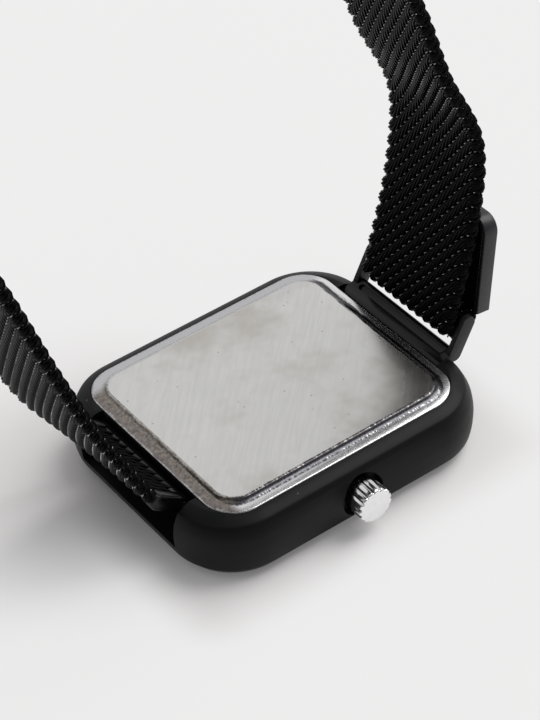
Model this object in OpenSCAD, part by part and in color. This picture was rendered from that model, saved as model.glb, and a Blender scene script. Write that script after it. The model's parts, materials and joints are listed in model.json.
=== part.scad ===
// Square digital wristwatch with a woven steel mesh strap, lying on its face.
// Millimetres. +Z up. The origin is the centre of the lens's outer face, which
// is the plane the watch rests on. X runs along the strap, Y across it, and
// the push button is on the -Y side.

/* [Case] */
// Length of the case along the strap
case_len = 45.4; // [42:0.1:50]
// Width of the case across the strap
case_wid = 38.5; // [36:0.1:44]
// Height of the case from its front rim plane to the seat of the back plate
case_high = 9.3; // [9:0.1:11]
// Corner radius of the case seen from the front
case_corner = 9.3; // [7:0.1:12]
// How far the front rim sits behind the lens face
rim_back = 0.15; // [0.05:0.05:0.4]
// Inset of the case at its front rim
front_inset = 1.6; // [1:0.1:2]
// Height of the crease above the front chamfer
crease_high = 1.7; // [1.2:0.1:2.4]
// Inset of the case at the back crease
back_inset = 1.0; // [0.6:0.1:1.4]
// Wall between the strap notch and the cavity
case_wall = 1.2; // [0.9:0.1:1.6]
// Distance from the tip of a lug back to its spring bar axis
lug_tip = 2.6; // [2.3:0.1:3]

/* [Strap notch] */
// Width between the lugs
lug_gap = 20.7; // [20:0.1:22]
// Gap between a strap barrel and the end wall of its notch
barrel_gap = 0.05; // [0.04:0.01:0.3]
// Height of the spring bar axes above the lens face
bar_high = 7.8; // [7.2:0.1:8]
// Height of the rim that closes the notch at the front
notch_floor = 3.0; // [2.8:0.1:4]

/* [Back plate] */
// Gap between the end of the steel back plate and the notch wall
plate_end_gap = 0.1; // [0.05:0.05:0.4]
// Distance from the side of the case in to the side of the back plate
plate_side_inset = 2.75; // [2.3:0.05:3.5]
// Corner radius of the back plate
plate_corner = 4.85; // [4:0.05:6]
// Thickness of the plate's sheet
plate_sheet = 0.45; // [0.3:0.05:0.6]
// Height of the plate's raised middle above its edge
plate_rise = 0.63; // [0.4:0.01:0.9]
// Width of the plate's sloped border
plate_slope = 2.2; // [1.5:0.1:3]

/* [Lens and display] */
// Width of the case rim that frames the lens
rim_wid = 1.1; // [0.8:0.1:1.5]
// Thickness of the lens
lens_thick = 1.2; // [0.8:0.1:1.4]
// Width of the ledge that carries the lens
ledge_wid = 1.3; // [1:0.1:1.8]
// Height of one digit
digit_high = 9; // [7:0.5:11]
// Width of one digit
digit_wid = 5; // [4:0.5:6]
// Width of one lit bar of a digit
segment_wid = 0.9; // [0.6:0.1:1.1]

/* [Battery] */
// Diameter of the coin cell
cell_d = 20; // [16:1:20]
// Thickness of the coin cell
cell_thick = 2.4; // [1.6:0.1:2.5]

/* [Button] */
// Diameter of the fluted button head
button_d = 5.0; // [4.2:0.1:5.4]
// How far the head stands out of the case side
button_proud = 2.6; // [1.8:0.1:3]
// Number of flutes round the head
flute_count = 15; // [10:1:20]
// Travel of the button
button_travel = 0.6; // [0.3:0.05:0.8]
// Height of the button axis above the lens face
button_high = 4.6; // [4.4:0.1:5]

/* [Strap] */
// Width of the mesh
strap_wid = 18.4; // [17:0.1:18.6]
// Thickness of the mesh
strap_thick = 2.0; // [1.6:0.1:2.2]
// Number of strap sections that bend against each other
link_count = 16; // [12:1:18]
// Spacing of the woven ribs along the strap
rib_pitch = 4.28; // [3.6:0.01:5]
// Travel along the strap while a rib crosses one millimetre of its width
rib_slant = 1.39; // [1.2:0.01:1.6]
// Height of the woven ribs above the strap's core
rib_high = 0.45; // [0.3:0.05:0.5]
// Fullness of the loop's unseen top at its left side, as a share of its span
left_fullness = 0.92; // [0.8:0.01:1]
// Fullness of the loop's unseen top at its right side, as a share of its span
right_fullness = 0.62; // [0.5:0.01:0.7]

/* [Ring and clasp] */
// Reach of the ring's far bar from the spring bar, along X
ring_reach = 4.5; // [4.2:0.1:5]
// Rise of the ring's far bar above the spring bar
ring_rise = 5.3; // [5.2:0.1:6.4]
// Thickness of the ring's side arms
arm_thick = 0.8; // [0.6:0.1:0.9]
// Length of the clasp housing
clasp_len = 14.2; // [12:0.1:16]
// Thickness of the clasp housing
clasp_thick = 2.1; // [1.9:0.1:2.4]
// Width of the clasp housing
clasp_wid = 19.0; // [18.6:0.1:19.6]

/* [Fits] */
// Running clearance of pins and sliding stems, on the radius
run_gap = 0.05; // [0.02:0.01:0.08]
// Gap between pieces that are only laid in place
lay_gap = 0.08; // [0.05:0.01:0.12]
// Gap between soft strap sections
soft_gap = 0.2; // [0.12:0.01:0.25]

/* [Hidden] */
$fn = 48;
eps = 0.01;

// Case profile: height above the lens face and inset from the widest outline
belly_high = crease_high + 0.38 * (case_high - crease_high);
shoulder_high = case_high - 0.9;
case_profile = [
  [rim_back, front_inset],
  [crease_high, 0.25 * front_inset],
  [belly_high, 0],
  [belly_high + 0.62 * (shoulder_high - belly_high), 0.3 * back_inset],
  [shoulder_high, back_inset],
  [case_high, plate_side_inset]];
bar_r = 0.75;
barrel_bore = bar_r + run_gap;
barrel_r = barrel_bore + 0.35;
bar_reach = case_len / 2 - lug_tip;
notch_wall = bar_reach - barrel_r - barrel_gap;
plate_len = 2 * (notch_wall - plate_end_gap);
plate_wid = case_wid - 2 * plate_side_inset;
plate_seat = case_high - 0.4;
skirt_wall = 0.5;
cavity_len = 2 * (notch_wall - case_wall);
cavity_wid = cavity_len - (plate_len - plate_wid);
cavity_corner = plate_corner - 0.9;
lens_len = case_len - 2 * (front_inset + rim_wid);
lens_wid = case_wid - 2 * (front_inset + rim_wid);
lens_corner = case_corner - front_inset - rim_wid;
gasket_thick = 0.2;
ledge_front = lens_thick + gasket_thick;
ledge_back = ledge_front + 0.8;
window_len = min(lens_len - 2 * ledge_wid, cavity_len - 1);
window_wid = min(lens_wid - 2 * ledge_wid, cavity_wid - 1);
window_corner = lens_corner - ledge_wid;
rabbet = 0.6;

// Inner stack, from the ledge towards the back plate
holder_wall = 0.9;
panel_thick = 1.5;
digit_gap = 1.7;
digit_step = digit_wid + digit_gap;
digit_places = [-1.75, -0.75, 0.75, 1.75];
panel_edge = 0.8;
panel_margin = 3;
panel_len = 2 * digit_places[3] * digit_step + digit_wid + 2 * panel_edge;
panel_wid = digit_high + 2 * panel_margin;
panel_front = ledge_back + 0.1;
board_front = panel_front + panel_thick + lay_gap;
board_thick = 0.8;
board_back = board_front + board_thick;
board_len = cavity_len - 2 * holder_wall - 2 * lay_gap;
board_wid = cavity_wid - 2 * holder_wall - 2 * lay_gap;
can_d = 1.5;
can_len = 5;
can_x = 2.3 - board_len / 2;
chip_r = 3;
chip_x = 5.3 - board_len / 2;
chip_y = -6;
leaf_thick = 0.2;
leaf_wid = 2.6;
leaf_foot = 2.4;
cell_front = board_back + 0.55;
cell_back = cell_front + cell_thick;
cell_x = 4;
cell_y = 2;
clip_thick = 0.25;
clip_wid = 6;
film_thick = 0.12;
plate_inside = case_high + plate_rise - plate_sheet;
screw_d = 0.8;
screw_head_d = 1.8;
screw_head_high = 0.5;
screw_slot = 0.24;
screw_inset = 3.2;
screw_places = [for (s = [-1, 1]) s * [cavity_len / 2 - screw_inset, -cavity_wid / 2 + screw_inset]];
part_len = 1.6;
part_wid = 1.0;
part_high = 0.5;
part_pitch = 2.0;
part_row = -cavity_len / 2 + screw_inset + screw_head_d / 2 + 0.1 + part_wid / 2;
part_place_y = cavity_wid / 2 - screw_inset - screw_head_d / 2 - 0.2 - part_len / 2;
part_places = concat(
  [for (i = [0:2]) [part_row - 1.5 * part_wid + i * part_pitch, part_place_y - part_len / 2]],
  [[part_row + part_wid, -part_place_y - part_len]],
  [for (i = [1:2]) [-part_row - i * part_pitch, -part_place_y - part_len]]);

// Button
side_y = -case_wid / 2;
recess_r = button_d / 2 + 0.6;
recess_floor = side_y + 1.7;
cavity_side = -cavity_wid / 2;
stem_r = 0.7;
stem_end = cavity_side + 0.9;
leaf_y = stem_end + button_travel + 0.12;
tube_wall = 0.3;
tube_r = stem_r + run_gap + tube_wall;
head_back = side_y + 0.75;
head_front = side_y - button_proud;
head_skirt = 0.5;
head_floor = 1.3;
spring_wire = 0.22;
spring_r = tube_r + 0.3;
spring_turns = 5;

// Spring bars
bar_tip_r = 0.42;
bar_wall = 0.2;
bar_tube_len = lug_gap - 1.6;
bar_tip_reach = 1.1;
bar_tip_len = 4;
bar_flange = 0.55;
bar_coil_wire = 0.1;

// Strap route in the XZ plane, from the left spring bar over the top of the
// loop and down to the ring. Points are set off from the bar that each run
// starts at, and the top is one cubic curve between the two runs.
left_bar = [-bar_reach, bar_high];
right_bar = [bar_reach, bar_high];
far_bar = right_bar + [ring_reach, ring_rise];
far_bar_r = 0.6;
left_run = [[-4.1, 3.1], [-5.9, 5.9], [-10.5, 15.1], [-14.7, 26.6], [-19.2, 40.7], [-22.2, 49.7]];
right_run = [[-5.8, 50.5], [-2.9, 41.4], [0.5, 32.3], [3.2, 26], [4, 21.6], [3.3, 17.6], [2.2, 13.4],
  [1.5, 9.2], [0, 3.4]];
fold_r = far_bar_r + 0.1 + strap_thick / 2;
fold_start_angle = 148;
fold_end_angle = 320;
function polar(r, a) = r * [cos(a), sin(a)];
fold_start = far_bar + polar(fold_r, fold_start_angle);
tail_axis = far_bar + polar(fold_r, fold_end_angle);
left_pts = [for (p = left_run) left_bar + p];
right_pts = concat([for (p = right_run) far_bar + p], [fold_start]);
top_a = left_pts[len(left_pts) - 1];
top_d = right_pts[0];
top_span = norm(top_d - top_a);
function unit(v) = v / norm(v);
top_b = top_a + left_fullness * top_span * unit(top_a - left_pts[len(left_pts) - 2]);
top_c = top_d + right_fullness * top_span * unit(top_d - right_pts[1]);
function cubic(a, b, c, d, t) =
  pow(1 - t, 3) * a + 3 * pow(1 - t, 2) * t * b + 3 * (1 - t) * t * t * c + pow(t, 3) * d;
top_steps = 8;
top_pts = [for (i = [1:top_steps - 1]) cubic(top_a, top_b, top_c, top_d, i / top_steps)];
route = concat(left_pts, top_pts, right_pts);
function clamped(i) = route[max(0, min(len(route) - 1, i))];
function spline(i, t) =
  let (a = clamped(i - 1), b = clamped(i), c = clamped(i + 1), d = clamped(i + 2))
  0.5 * (2 * b + (c - a) * t + (2 * a - 5 * b + 4 * c - d) * t * t + (3 * b - a - 3 * c + d) * pow(t, 3));
spline_steps = 8;
fine = concat(
  [for (i = [0:len(route) - 2]) for (j = [0:spline_steps - 1]) spline(i, j / spline_steps)],
  [route[len(route) - 1]]);
run_sum = [for (i = 0, s = 0; i < len(fine);
  i = i + 1, s = i < len(fine) ? s + norm(fine[i] - fine[i - 1]) : s) s];
route_x = [for (i = [0:len(fine) - 1]) [run_sum[i], fine[i][0]]];
route_z = [for (i = [0:len(fine) - 1]) [run_sum[i], fine[i][1]]];
strap_run = run_sum[len(run_sum) - 1];
link_len = strap_run / link_count;
function along(s) = [lookup(s, route_x), lookup(s, route_z)];
function heading(s) = unit(along(s + 0.4) - along(s - 0.4));
function left_of(v) = [-v[1], v[0]];
function hinge_at(i) = along(i * link_len);

// Strap hinge: a cross pin of one section held in the split eye of the next
pin_r = 0.58 * strap_thick / 2;
neck_thick = 0.3 * strap_thick;
eye_r = strap_thick / 2;
link_steps = 3;
rib_wid = rib_pitch / 2;
rib_end = eye_r + 0.35;
throat_play = 6;
clamp_dir = unit(hinge_at(0) - left_bar);
function angle_of(v) = atan2(v[1], v[0]);
// Angle from which the neck comes to hinge i
function neck_angle(i) = i == 0 ? angle_of(-clamp_dir) : angle_of(-heading(i * link_len));

// Ring plate: reach from the spring bar, thickness, and the long groove in its inner face
ring_web = [2.2, 1.25];
web_thick = 1.0;
groove_wid = 0.9;
groove_floor = 0.2;
groove_end = 1.4;

// Clearance of the open row, where the loop closes on the fold
open_gap = 0.15;

// Clasp, in its own upright frame with the hinge axis at its origin
clasp_lean = -7;
clasp_inner = 0.45;
clasp_start = eye_r + 0.1;
clasp_lift = 100;
clasp_wall = 0.45;
cover_thick = 0.2;
magnet_thick = 1.0;
magnet_inset = 2.5;
tongue_len = 4.2;
tail_edge = 0.9;
clasp_corner = 2.2;

echo(strap_run = strap_run, hinges = [for (i = [0:link_count]) hinge_at(i)]);
echo(fold_start = fold_start, tail_axis = tail_axis, far_bar = far_bar);

// Rounded rectangle, centred
module round_rect(l, w, r) {
  x = l / 2 - r;
  y = w / 2 - r;
  union() {
    square([l, w - 2 * r], center = true);
    square([l - 2 * r, w], center = true);
    for (sx = [-1, 1]) for (sy = [-1, 1]) translate([sx * x, sy * y]) circle(r);
  }
}

// Prism with a rounded rectangle outline from height a to height b
module slab(l, w, r, a, b) {
  translate([0, 0, a]) linear_extrude(b - a) round_rect(l, w, r);
}

// Frame between two rounded rectangles
module frame(l, w, r, wall, a, b) {
  translate([0, 0, a]) linear_extrude(b - a) difference() {
    round_rect(l, w, r);
    round_rect(l - 2 * wall, w - 2 * wall, max(0.2, r - wall));
  }
}

// Cylinder along Y between two places, on an axis given in XZ
module rod_y(at, r, y0, y1) {
  translate([at[0], y0, at[1]]) rotate([-90, 0, 0]) cylinder(r = r, h = y1 - y0);
}

// Prism along Y, centred, from an outline in XZ
module across(w) {
  rotate([90, 0, 0]) linear_extrude(w, center = true) children();
}

// Outer form of the case, bulged at its sides
module case_form() {
  hull() for (p = case_profile) translate([0, 0, p[0]]) linear_extrude(eps)
    round_rect(case_len - 2 * p[1], case_wid - 2 * p[1], case_corner - p[1], $fn = 40);
}

module case_shell() {
  color([0.05, 0.05, 0.055]) difference() {
    case_form();
    slab(lens_len + 2 * lay_gap, lens_wid + 2 * lay_gap, lens_corner + lay_gap, -1, ledge_front);
    slab(window_len, window_wid, window_corner, 0, case_high);
    slab(cavity_len, cavity_wid, cavity_corner, ledge_back, case_high + 1);
    slab(cavity_len + 2 * rabbet, cavity_wid + 2 * rabbet, cavity_corner + rabbet,
      plate_seat - rabbet, case_high + 1);
    slab(plate_len + 2 * lay_gap, plate_wid + 2 * lay_gap, plate_corner + lay_gap,
      plate_seat, case_high + 1);
    for (s = [-1, 1]) translate([s * (notch_wall + case_len / 2), 0, notch_floor + case_high / 2])
      cube([case_len, lug_gap, case_high], center = true);
    for (s = [-1, 1]) rod_y([s * bar_reach, bar_high], bar_tip_r + run_gap,
      -lug_gap / 2 - bar_tip_reach - 0.2, lug_gap / 2 + bar_tip_reach + 0.2);
    rod_y([0, button_high], recess_r, side_y - 1, recess_floor);
    rod_y([0, button_high], tube_r + run_gap / 2, side_y - 1, cavity_side + 1);
  }
}

module lens() {
  color([0.08, 0.09, 0.1, 0.6]) slab(lens_len, lens_wid, lens_corner, 0, lens_thick);
}

module lens_gasket() {
  color([0.1, 0.1, 0.1]) frame(lens_len - 0.1, lens_wid - 0.1, lens_corner - 0.05, ledge_wid - 0.2,
    lens_thick, ledge_front);
}

module display_panel() {
  color([0.03, 0.03, 0.03]) slab(panel_len, panel_wid, 0.8, panel_front, panel_front + panel_thick);
}

// One bar of a digit, with pointed ends
module digit_bar(length) {
  w = segment_wid / 2;
  polygon([[-length / 2, 0], [w - length / 2, w], [length / 2 - w, w], [length / 2, 0],
    [length / 2 - w, -w], [w - length / 2, -w]]);
}

// Seven-bar digit. The bars are top, upper right, lower right, bottom, lower left, upper left, middle
module digit(bars) {
  half = digit_high / 2 - segment_wid / 2;
  side = digit_wid / 2 - segment_wid / 2;
  flat = 2 * side - 0.15;
  tall = half - 0.15;
  places = [[0, half, 0], [side, half / 2, 90], [side, -half / 2, 90], [0, -half, 0],
    [-side, -half / 2, 90], [-side, half / 2, 90], [0, 0, 0]];
  for (i = [0:6]) if (bars[i] == 1) translate([places[i][0], places[i][1]]) rotate(places[i][2])
    digit_bar(places[i][2] == 0 ? flat : tall);
}

// The digits read from the front, which faces down, with the button at the right
module lit_segments() {
  zero = [1, 1, 1, 1, 1, 1, 0];
  one = [0, 1, 1, 0, 0, 0, 0];
  eight = [1, 1, 1, 1, 1, 1, 1];
  shown = [one, zero, zero, eight];
  color([0.95, 0.1, 0.05]) translate([0, 0, panel_front - 0.06]) linear_extrude(0.05)
    mirror([1, 0]) {
      for (i = [0:3]) translate([digit_places[i] * digit_step, 0]) digit(shown[i]);
      for (s = [-1, 1]) translate([0, s * digit_high / 5]) circle(d = segment_wid);
    }
}

module module_holder() {
  color([0.85, 0.85, 0.82]) difference() {
    slab(cavity_len - 2 * lay_gap, cavity_wid - 2 * lay_gap, cavity_corner - lay_gap,
      ledge_back, cell_back - 0.2);
    slab(panel_len + 2 * lay_gap, panel_wid + 2 * lay_gap, 0.8, 0, case_high);
    slab(cavity_len - 2 * holder_wall, cavity_wid - 2 * holder_wall, cavity_corner - 0.6,
      board_front, case_high);
    translate([-3, cavity_side - 1, button_high - recess_r / 2 - 0.4]) cube([6, holder_wall + 2, case_high]);
    for (p = screw_places) translate([p[0], p[1], board_front - 1]) cylinder(d = screw_d + 0.04, h = 3);
  }
}

module circuit_board() {
  color([0.05, 0.3, 0.15]) difference() {
    slab(board_len, board_wid, cavity_corner - 0.6, board_front, board_back);
    for (p = screw_places) translate([p[0], p[1], 0]) cylinder(d = 1.1, h = case_high);
    translate([-2.2, cavity_side, 0]) cube([4.4, leaf_y + 0.5 - cavity_side, case_high]);
  }
}

module driver_chip() {
  color([0.04, 0.04, 0.04]) translate([chip_x, chip_y, board_back])
    rotate_extrude() intersection() {
      translate([0, -3.6]) circle(4.6);
      square([chip_r, 2]);
    }
}

module crystal_can() {
  color([0.8, 0.8, 0.82]) translate([can_x, 0, board_back + can_d / 2]) rotate([-90, 0, 0]) {
    cylinder(d = can_d, h = can_len);
    translate([0, 0, -0.25]) cylinder(d = 1.1, h = 0.3);
  }
}

module board_parts() {
  color([0.45, 0.36, 0.25]) for (p = part_places)
    translate([p[0] - part_wid / 2, p[1] - part_len / 2, board_back]) cube([part_wid, part_len, part_high]);
}

module cell_insulator() {
  color([0.9, 0.75, 0.2]) translate([cell_x, cell_y, cell_front - film_thick]) difference() {
    cylinder(d = cell_d - 0.4, h = film_thick - 0.02);
    translate([0, 0, -1]) cylinder(d = 9, h = 3);
  }
}

module coin_cell() {
  rim = 0.3;
  color([0.8, 0.8, 0.8]) translate([cell_x, cell_y, cell_front]) rotate_extrude() polygon([
    [0, 0], [cell_d / 2 - 1.4, 0], [cell_d / 2 - 1.4, rim], [cell_d / 2 - 0.25, rim],
    [cell_d / 2, rim + 0.25], [cell_d / 2, cell_thick - 0.2], [cell_d / 2 - 0.2, cell_thick],
    [0, cell_thick]]);
}

// Steel strap over the cell, with a leg down to the board at each end
module cell_clip() {
  reach = cell_d / 2 + 0.5;
  top = cell_back + 0.05;
  color([0.75, 0.75, 0.72]) translate([cell_x, cell_y, 0]) {
    translate([-clip_wid / 2, -reach, top]) cube([clip_wid, 2 * reach, clip_thick]);
    for (s = [-1, 1]) translate([-clip_wid / 2, s * (reach - clip_thick / 2) - clip_thick / 2, board_back])
      cube([clip_wid, clip_thick, top - board_back + eps]);
  }
}

// Sprung leaf that touches the cell through the hole of the insulator
module negative_contact() {
  rise = cell_front - board_back - leaf_thick - 0.02;
  color([0.8, 0.7, 0.4]) translate([cell_x, cell_y, board_back]) across(2.4) polygon([
    [-4, 0], [-2, 0], [3, rise], [3, rise + leaf_thick], [2.9, rise + leaf_thick],
    [-2.1, leaf_thick], [-4, leaf_thick]]);
}

module plate_insulator() {
  color([0.85, 0.7, 0.15]) slab(cavity_len - 6, cavity_wid - 6, 2, plate_inside - film_thick - 0.3,
    plate_inside - 0.3);
}

// Switch contact that the stem presses at the end of its travel
module switch_leaf() {
  low = button_high - 0.8;
  color([0.8, 0.7, 0.4]) union() {
    translate([-leaf_wid / 2, leaf_y, board_back]) cube([leaf_wid, leaf_foot, leaf_thick]);
    translate([-leaf_wid / 2, leaf_y, low]) cube([leaf_wid, leaf_thick, board_back + leaf_thick - low]);
  }
}

module holder_screws() {
  color([0.7, 0.7, 0.7]) for (p = screw_places) translate([p[0], p[1], 0]) {
    translate([0, 0, board_front - 0.9]) cylinder(d = screw_d, h = board_back - board_front + 0.95);
    difference() {
      translate([0, 0, board_back + 0.02]) cylinder(d = screw_head_d, h = screw_head_high);
      translate([-screw_head_d, -screw_slot / 2, board_back + 0.6 * screw_head_high])
        cube([2 * screw_head_d, screw_slot, screw_head_high]);
    }
  }
}

module back_gasket() {
  color([0.1, 0.1, 0.1]) frame(cavity_len + 2 * rabbet - 0.04, cavity_wid + 2 * rabbet - 0.04,
    cavity_corner + rabbet - 0.02, rabbet - 0.04, plate_seat - rabbet + 0.02, plate_seat - 0.02);
}

// Raised form of the plate at an offset below its outer surface
module plate_form(drop) {
  hull() {
    slab(plate_len - 2 * drop, plate_wid - 2 * drop, plate_corner - drop, plate_seat - 1,
      case_high - drop / 2 + 0.05);
    slab(plate_len - 2 * (plate_slope + drop / 2), plate_wid - 2 * (plate_slope + drop / 2),
      plate_corner - drop - 1.2, case_high, case_high + plate_rise - drop);
  }
}

module back_plate() {
  color([0.75, 0.75, 0.74]) union() {
    difference() {
      intersection() {
        plate_form(0, $fn = 64);
        slab(plate_len, plate_wid, plate_corner, plate_seat, case_high + 2);
      }
      plate_form(plate_sheet, $fn = 64);
    }
    frame(cavity_len - 2 * lay_gap, cavity_wid - 2 * lay_gap, cavity_corner - lay_gap, skirt_wall,
      plate_seat - 0.9, case_high + 0.15);
  }
}

module button_tube() {
  color([0.75, 0.6, 0.3]) difference() {
    rod_y([0, button_high], tube_r, recess_floor - 0.4, cavity_side + 0.1);
    rod_y([0, button_high], stem_r + run_gap, side_y - 1, cavity_side + 1);
  }
}

// Fluted cap with a blind pocket that hides the spring
module button_head() {
  color([0.8, 0.8, 0.82]) difference() {
    translate([0, head_front, button_high]) rotate([-90, 0, 0]) rotate_extrude() polygon([
      [0, 0], [button_d / 2 - 0.35, 0], [button_d / 2, 0.35],
      [button_d / 2, head_back - head_front - 0.2], [button_d / 2 - 0.2, head_back - head_front],
      [0, head_back - head_front]]);
    rod_y([0, button_high], button_d / 2 - head_skirt, head_front + head_floor, side_y + 3);
    for (i = [0:flute_count - 1]) translate([0, 0, button_high]) rotate([0, i * 360 / flute_count, 0])
      rod_y([button_d / 2 + 0.18, 0], 0.36, head_front - 1, head_back + 1);
  }
}

module button_stem() {
  groove = recess_floor + 0.9;
  color([0.75, 0.75, 0.78]) difference() {
    rod_y([0, button_high], stem_r, head_front + head_floor, stem_end);
    difference() {
      rod_y([0, button_high], stem_r + 1, groove - 0.25, groove + 0.25);
      rod_y([0, button_high], stem_r - 0.3, groove - 1, groove + 1);
    }
    difference() {
      rod_y([0, button_high], stem_r + 1, cavity_side + 0.3, cavity_side + 0.6);
      rod_y([0, button_high], stem_r - 0.25, cavity_side, cavity_side + 1);
    }
  }
}

module button_seal() {
  color([0.05, 0.05, 0.05]) translate([0, recess_floor + 0.9, button_high]) rotate([90, 0, 0])
    rotate_extrude() translate([stem_r - 0.3 + 0.02 + 0.155, 0]) circle(0.155, $fn = 24);
}

// Return spring, one tube that winds round the stem from the recess to the head
spring_from = head_front + head_floor + 0.05;
spring_to = recess_floor - 0.45;
spring_steps = 16;
spring_sides = 6;
function coil_point(i) = let (a = i * 360 / spring_steps, n = spring_steps * spring_turns)
  [spring_r * cos(a), spring_from + spring_wire / 2 + (spring_to - spring_from - spring_wire) * i / n,
    button_high + spring_r * sin(a)];
function coil_ring(i) = let (a = i * 360 / spring_steps)
  [for (k = [0:spring_sides - 1]) let (b = k * 360 / spring_sides)
    coil_point(i) + spring_wire / 2 * [cos(b) * cos(a), sin(b), cos(b) * sin(a)]];
// Tube through rings of points, closed at both ends
module tube_skin(rings) {
  n = len(rings);
  m = len(rings[0]);
  polyhedron([for (r = rings) each r], concat(
    [for (i = [0:n - 2]) for (k = [0:m - 1]) each [
      [i * m + k, i * m + (k + 1) % m, (i + 1) * m + (k + 1) % m],
      [i * m + k, (i + 1) * m + (k + 1) % m, (i + 1) * m + k]]],
    [for (k = [1:m - 2]) [0, k + 1, k]],
    [for (k = [1:m - 2]) [(n - 1) * m, (n - 1) * m + k, (n - 1) * m + k + 1]]));
}

module button_spring() {
  color([0.7, 0.7, 0.7]) tube_skin([for (i = [0:spring_steps * spring_turns]) coil_ring(i)]);
}

module button_clip() {
  color([0.7, 0.7, 0.7]) difference() {
    rod_y([0, button_high], stem_r + 0.6, cavity_side + 0.33, cavity_side + 0.57);
    rod_y([0, button_high], stem_r - 0.23, cavity_side, cavity_side + 1);
    translate([-0.45, cavity_side, button_high]) cube([0.9, 1, 3]);
  }
}

// Spring bar parts on the bar axis at x
module bar_tube(at) {
  half = bar_tube_len / 2;
  difference() {
    rod_y(at, bar_r, -half, half);
    rod_y(at, bar_tip_r + run_gap, -half - 1, half + 1);
    rod_y(at, bar_r - bar_wall, -half + 0.5, half - 0.5);
  }
}

module bar_tips(at) {
  half = bar_tube_len / 2;
  end = lug_gap / 2 + bar_tip_reach;
  for (s = [0, 1]) mirror([0, s, 0]) {
    rod_y(at, bar_tip_r, half - bar_tip_len, end);
    rod_y(at, bar_r - bar_wall - run_gap, half - 1.2, half - 0.55);
    rod_y(at, bar_r - bar_wall, half + 0.25, half + 0.25 + bar_flange - 0.2);
  }
}

function bar_coil_ring(at, y0, y1, r, n, i) = let (a = i * 30)
  [for (k = [0:3]) let (b = k * 90, q = r + bar_coil_wire * cos(b))
    [at[0] + q * cos(a), y0 + (y1 - y0) * i / n + bar_coil_wire * sin(b), at[1] + q * sin(a)]];

module bar_spring(at) {
  reach = bar_tube_len / 2 - bar_tip_len - 0.2;
  n = 12 * 14;
  tube_skin([for (i = [0:n]) bar_coil_ring(at, -reach, reach, bar_r - bar_wall - 0.17, n, i)]);
}

module left_bar_tube() { color([0.7, 0.6, 0.35]) bar_tube(left_bar); }
module left_bar_tips() { color([0.75, 0.65, 0.4]) bar_tips(left_bar); }
module left_bar_spring() { color([0.7, 0.7, 0.7]) bar_spring(left_bar); }
module right_bar_tube() { color([0.7, 0.6, 0.35]) bar_tube(right_bar); }
module right_bar_tips() { color([0.75, 0.65, 0.4]) bar_tips(right_bar); }
module right_bar_spring() { color([0.7, 0.7, 0.7]) bar_spring(right_bar); }

// Layer outline along the route between two places, and between two heights above its middle
module band(s0, s1, low, high) {
  ss = [for (j = [0:link_steps]) s0 + (s1 - s0) * j / link_steps];
  polygon(concat(
    [for (s = ss) along(s) + high * left_of(heading(s))],
    [for (j = [link_steps:-1:0]) along(ss[j]) + low * left_of(heading(ss[j]))]));
}

// Split eye at a hinge: bore for the pin and a throat for its neck, whose
// direction turns from angle a0 to angle a1 as the hinge moves
module eye_cut(at, a0, a1, gap, wid) {
  play = asin((neck_thick / 2 + gap) / pin_r) + throat_play;
  reach = 3 * eye_r;
  rod_y(at, pin_r + gap, -wid, wid);
  across(2 * wid) translate(at) polygon([[0, 0], polar(reach, a0 - play), polar(reach, (a0 + a1) / 2),
    polar(reach, a1 + play)]);
}

// Cross pin at a hinge, on a neck that comes from the direction of angle a
module eye_pin(at, a, wid) {
  rod_y(at, pin_r, -wid / 2, wid / 2);
  across(wid) translate(at) rotate(a) translate([0, -neck_thick / 2])
    square([eye_r + soft_gap + 0.3, neck_thick]);
}

// Slanting ribs of section i, clear of both hinges. A face's ribs keep step from section to section
module rib_bars(i, side) {
  s0 = (i - 1) * link_len;
  shift = rib_slant * strap_wid / 2;
  first = floor((s0 - shift) / rib_pitch);
  last = ceil((s0 + link_len + shift) / rib_pitch);
  intersection() {
    translate([rib_end, -strap_wid]) square([link_len - 2 * rib_end, 2 * strap_wid]);
    for (k = [first:last]) {
      at = k * rib_pitch - s0;
      polygon([for (p = [[-1, 0], [-1, 1], [1, 1], [1, 0]])
        [at + p[1] * rib_wid + side * p[0] * 1.1 * shift, p[0] * 1.1 * strap_wid / 2]]);
    }
  }
}

// Woven body of section i: a core, with ribs that lean one way outside and the other way inside
module rib_band(i) {
  s0 = (i - 1) * link_len;
  s1 = i * link_len;
  core = strap_thick / 2 - rib_high;
  across(strap_wid) band(s0, s1, -core, core);
  for (side = [-1, 1]) intersection() {
    across(strap_wid) band(s0, s1, min(0, side * strap_thick / 2), max(0, side * strap_thick / 2));
    translate([hinge_at(i - 1)[0], 0, hinge_at(i - 1)[1]])
      rotate([0, -angle_of(hinge_at(i) - hinge_at(i - 1)), 0])
        linear_extrude(4 * strap_thick, center = true) rib_bars(i, -side);
  }
}

// Strap section i runs from hinge i - 1, where its eye is, to hinge i, where its pin is
module strap_link(i) {
  a = hinge_at(i - 1);
  b = hinge_at(i);
  color([0.06, 0.06, 0.065]) union() {
    difference() {
      union() {
        rib_band(i);
        rod_y(a, eye_r, -strap_wid / 2, strap_wid / 2);
      }
      rod_y(b, eye_r + soft_gap, -strap_wid, strap_wid);
      eye_cut(a, neck_angle(i - 1), neck_angle(i - 1), run_gap, strap_wid);
    }
    eye_pin(b, neck_angle(i), strap_wid);
  }
}
module strap_link_01() { strap_link(1); }
module strap_link_02() { strap_link(2); }
module strap_link_03() { strap_link(3); }
module strap_link_04() { strap_link(4); }
module strap_link_05() { strap_link(5); }
module strap_link_06() { strap_link(6); }
module strap_link_07() { strap_link(7); }
module strap_link_08() { strap_link(8); }
module strap_link_09() { strap_link(9); }
module strap_link_10() { strap_link(10); }
module strap_link_11() { strap_link(11); }
module strap_link_12() { strap_link(12); }
module strap_link_13() { strap_link(13); }
module strap_link_14() { strap_link(14); }
module strap_link_15() { strap_link(15); }
module strap_link_16() { strap_link(16); }

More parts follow.
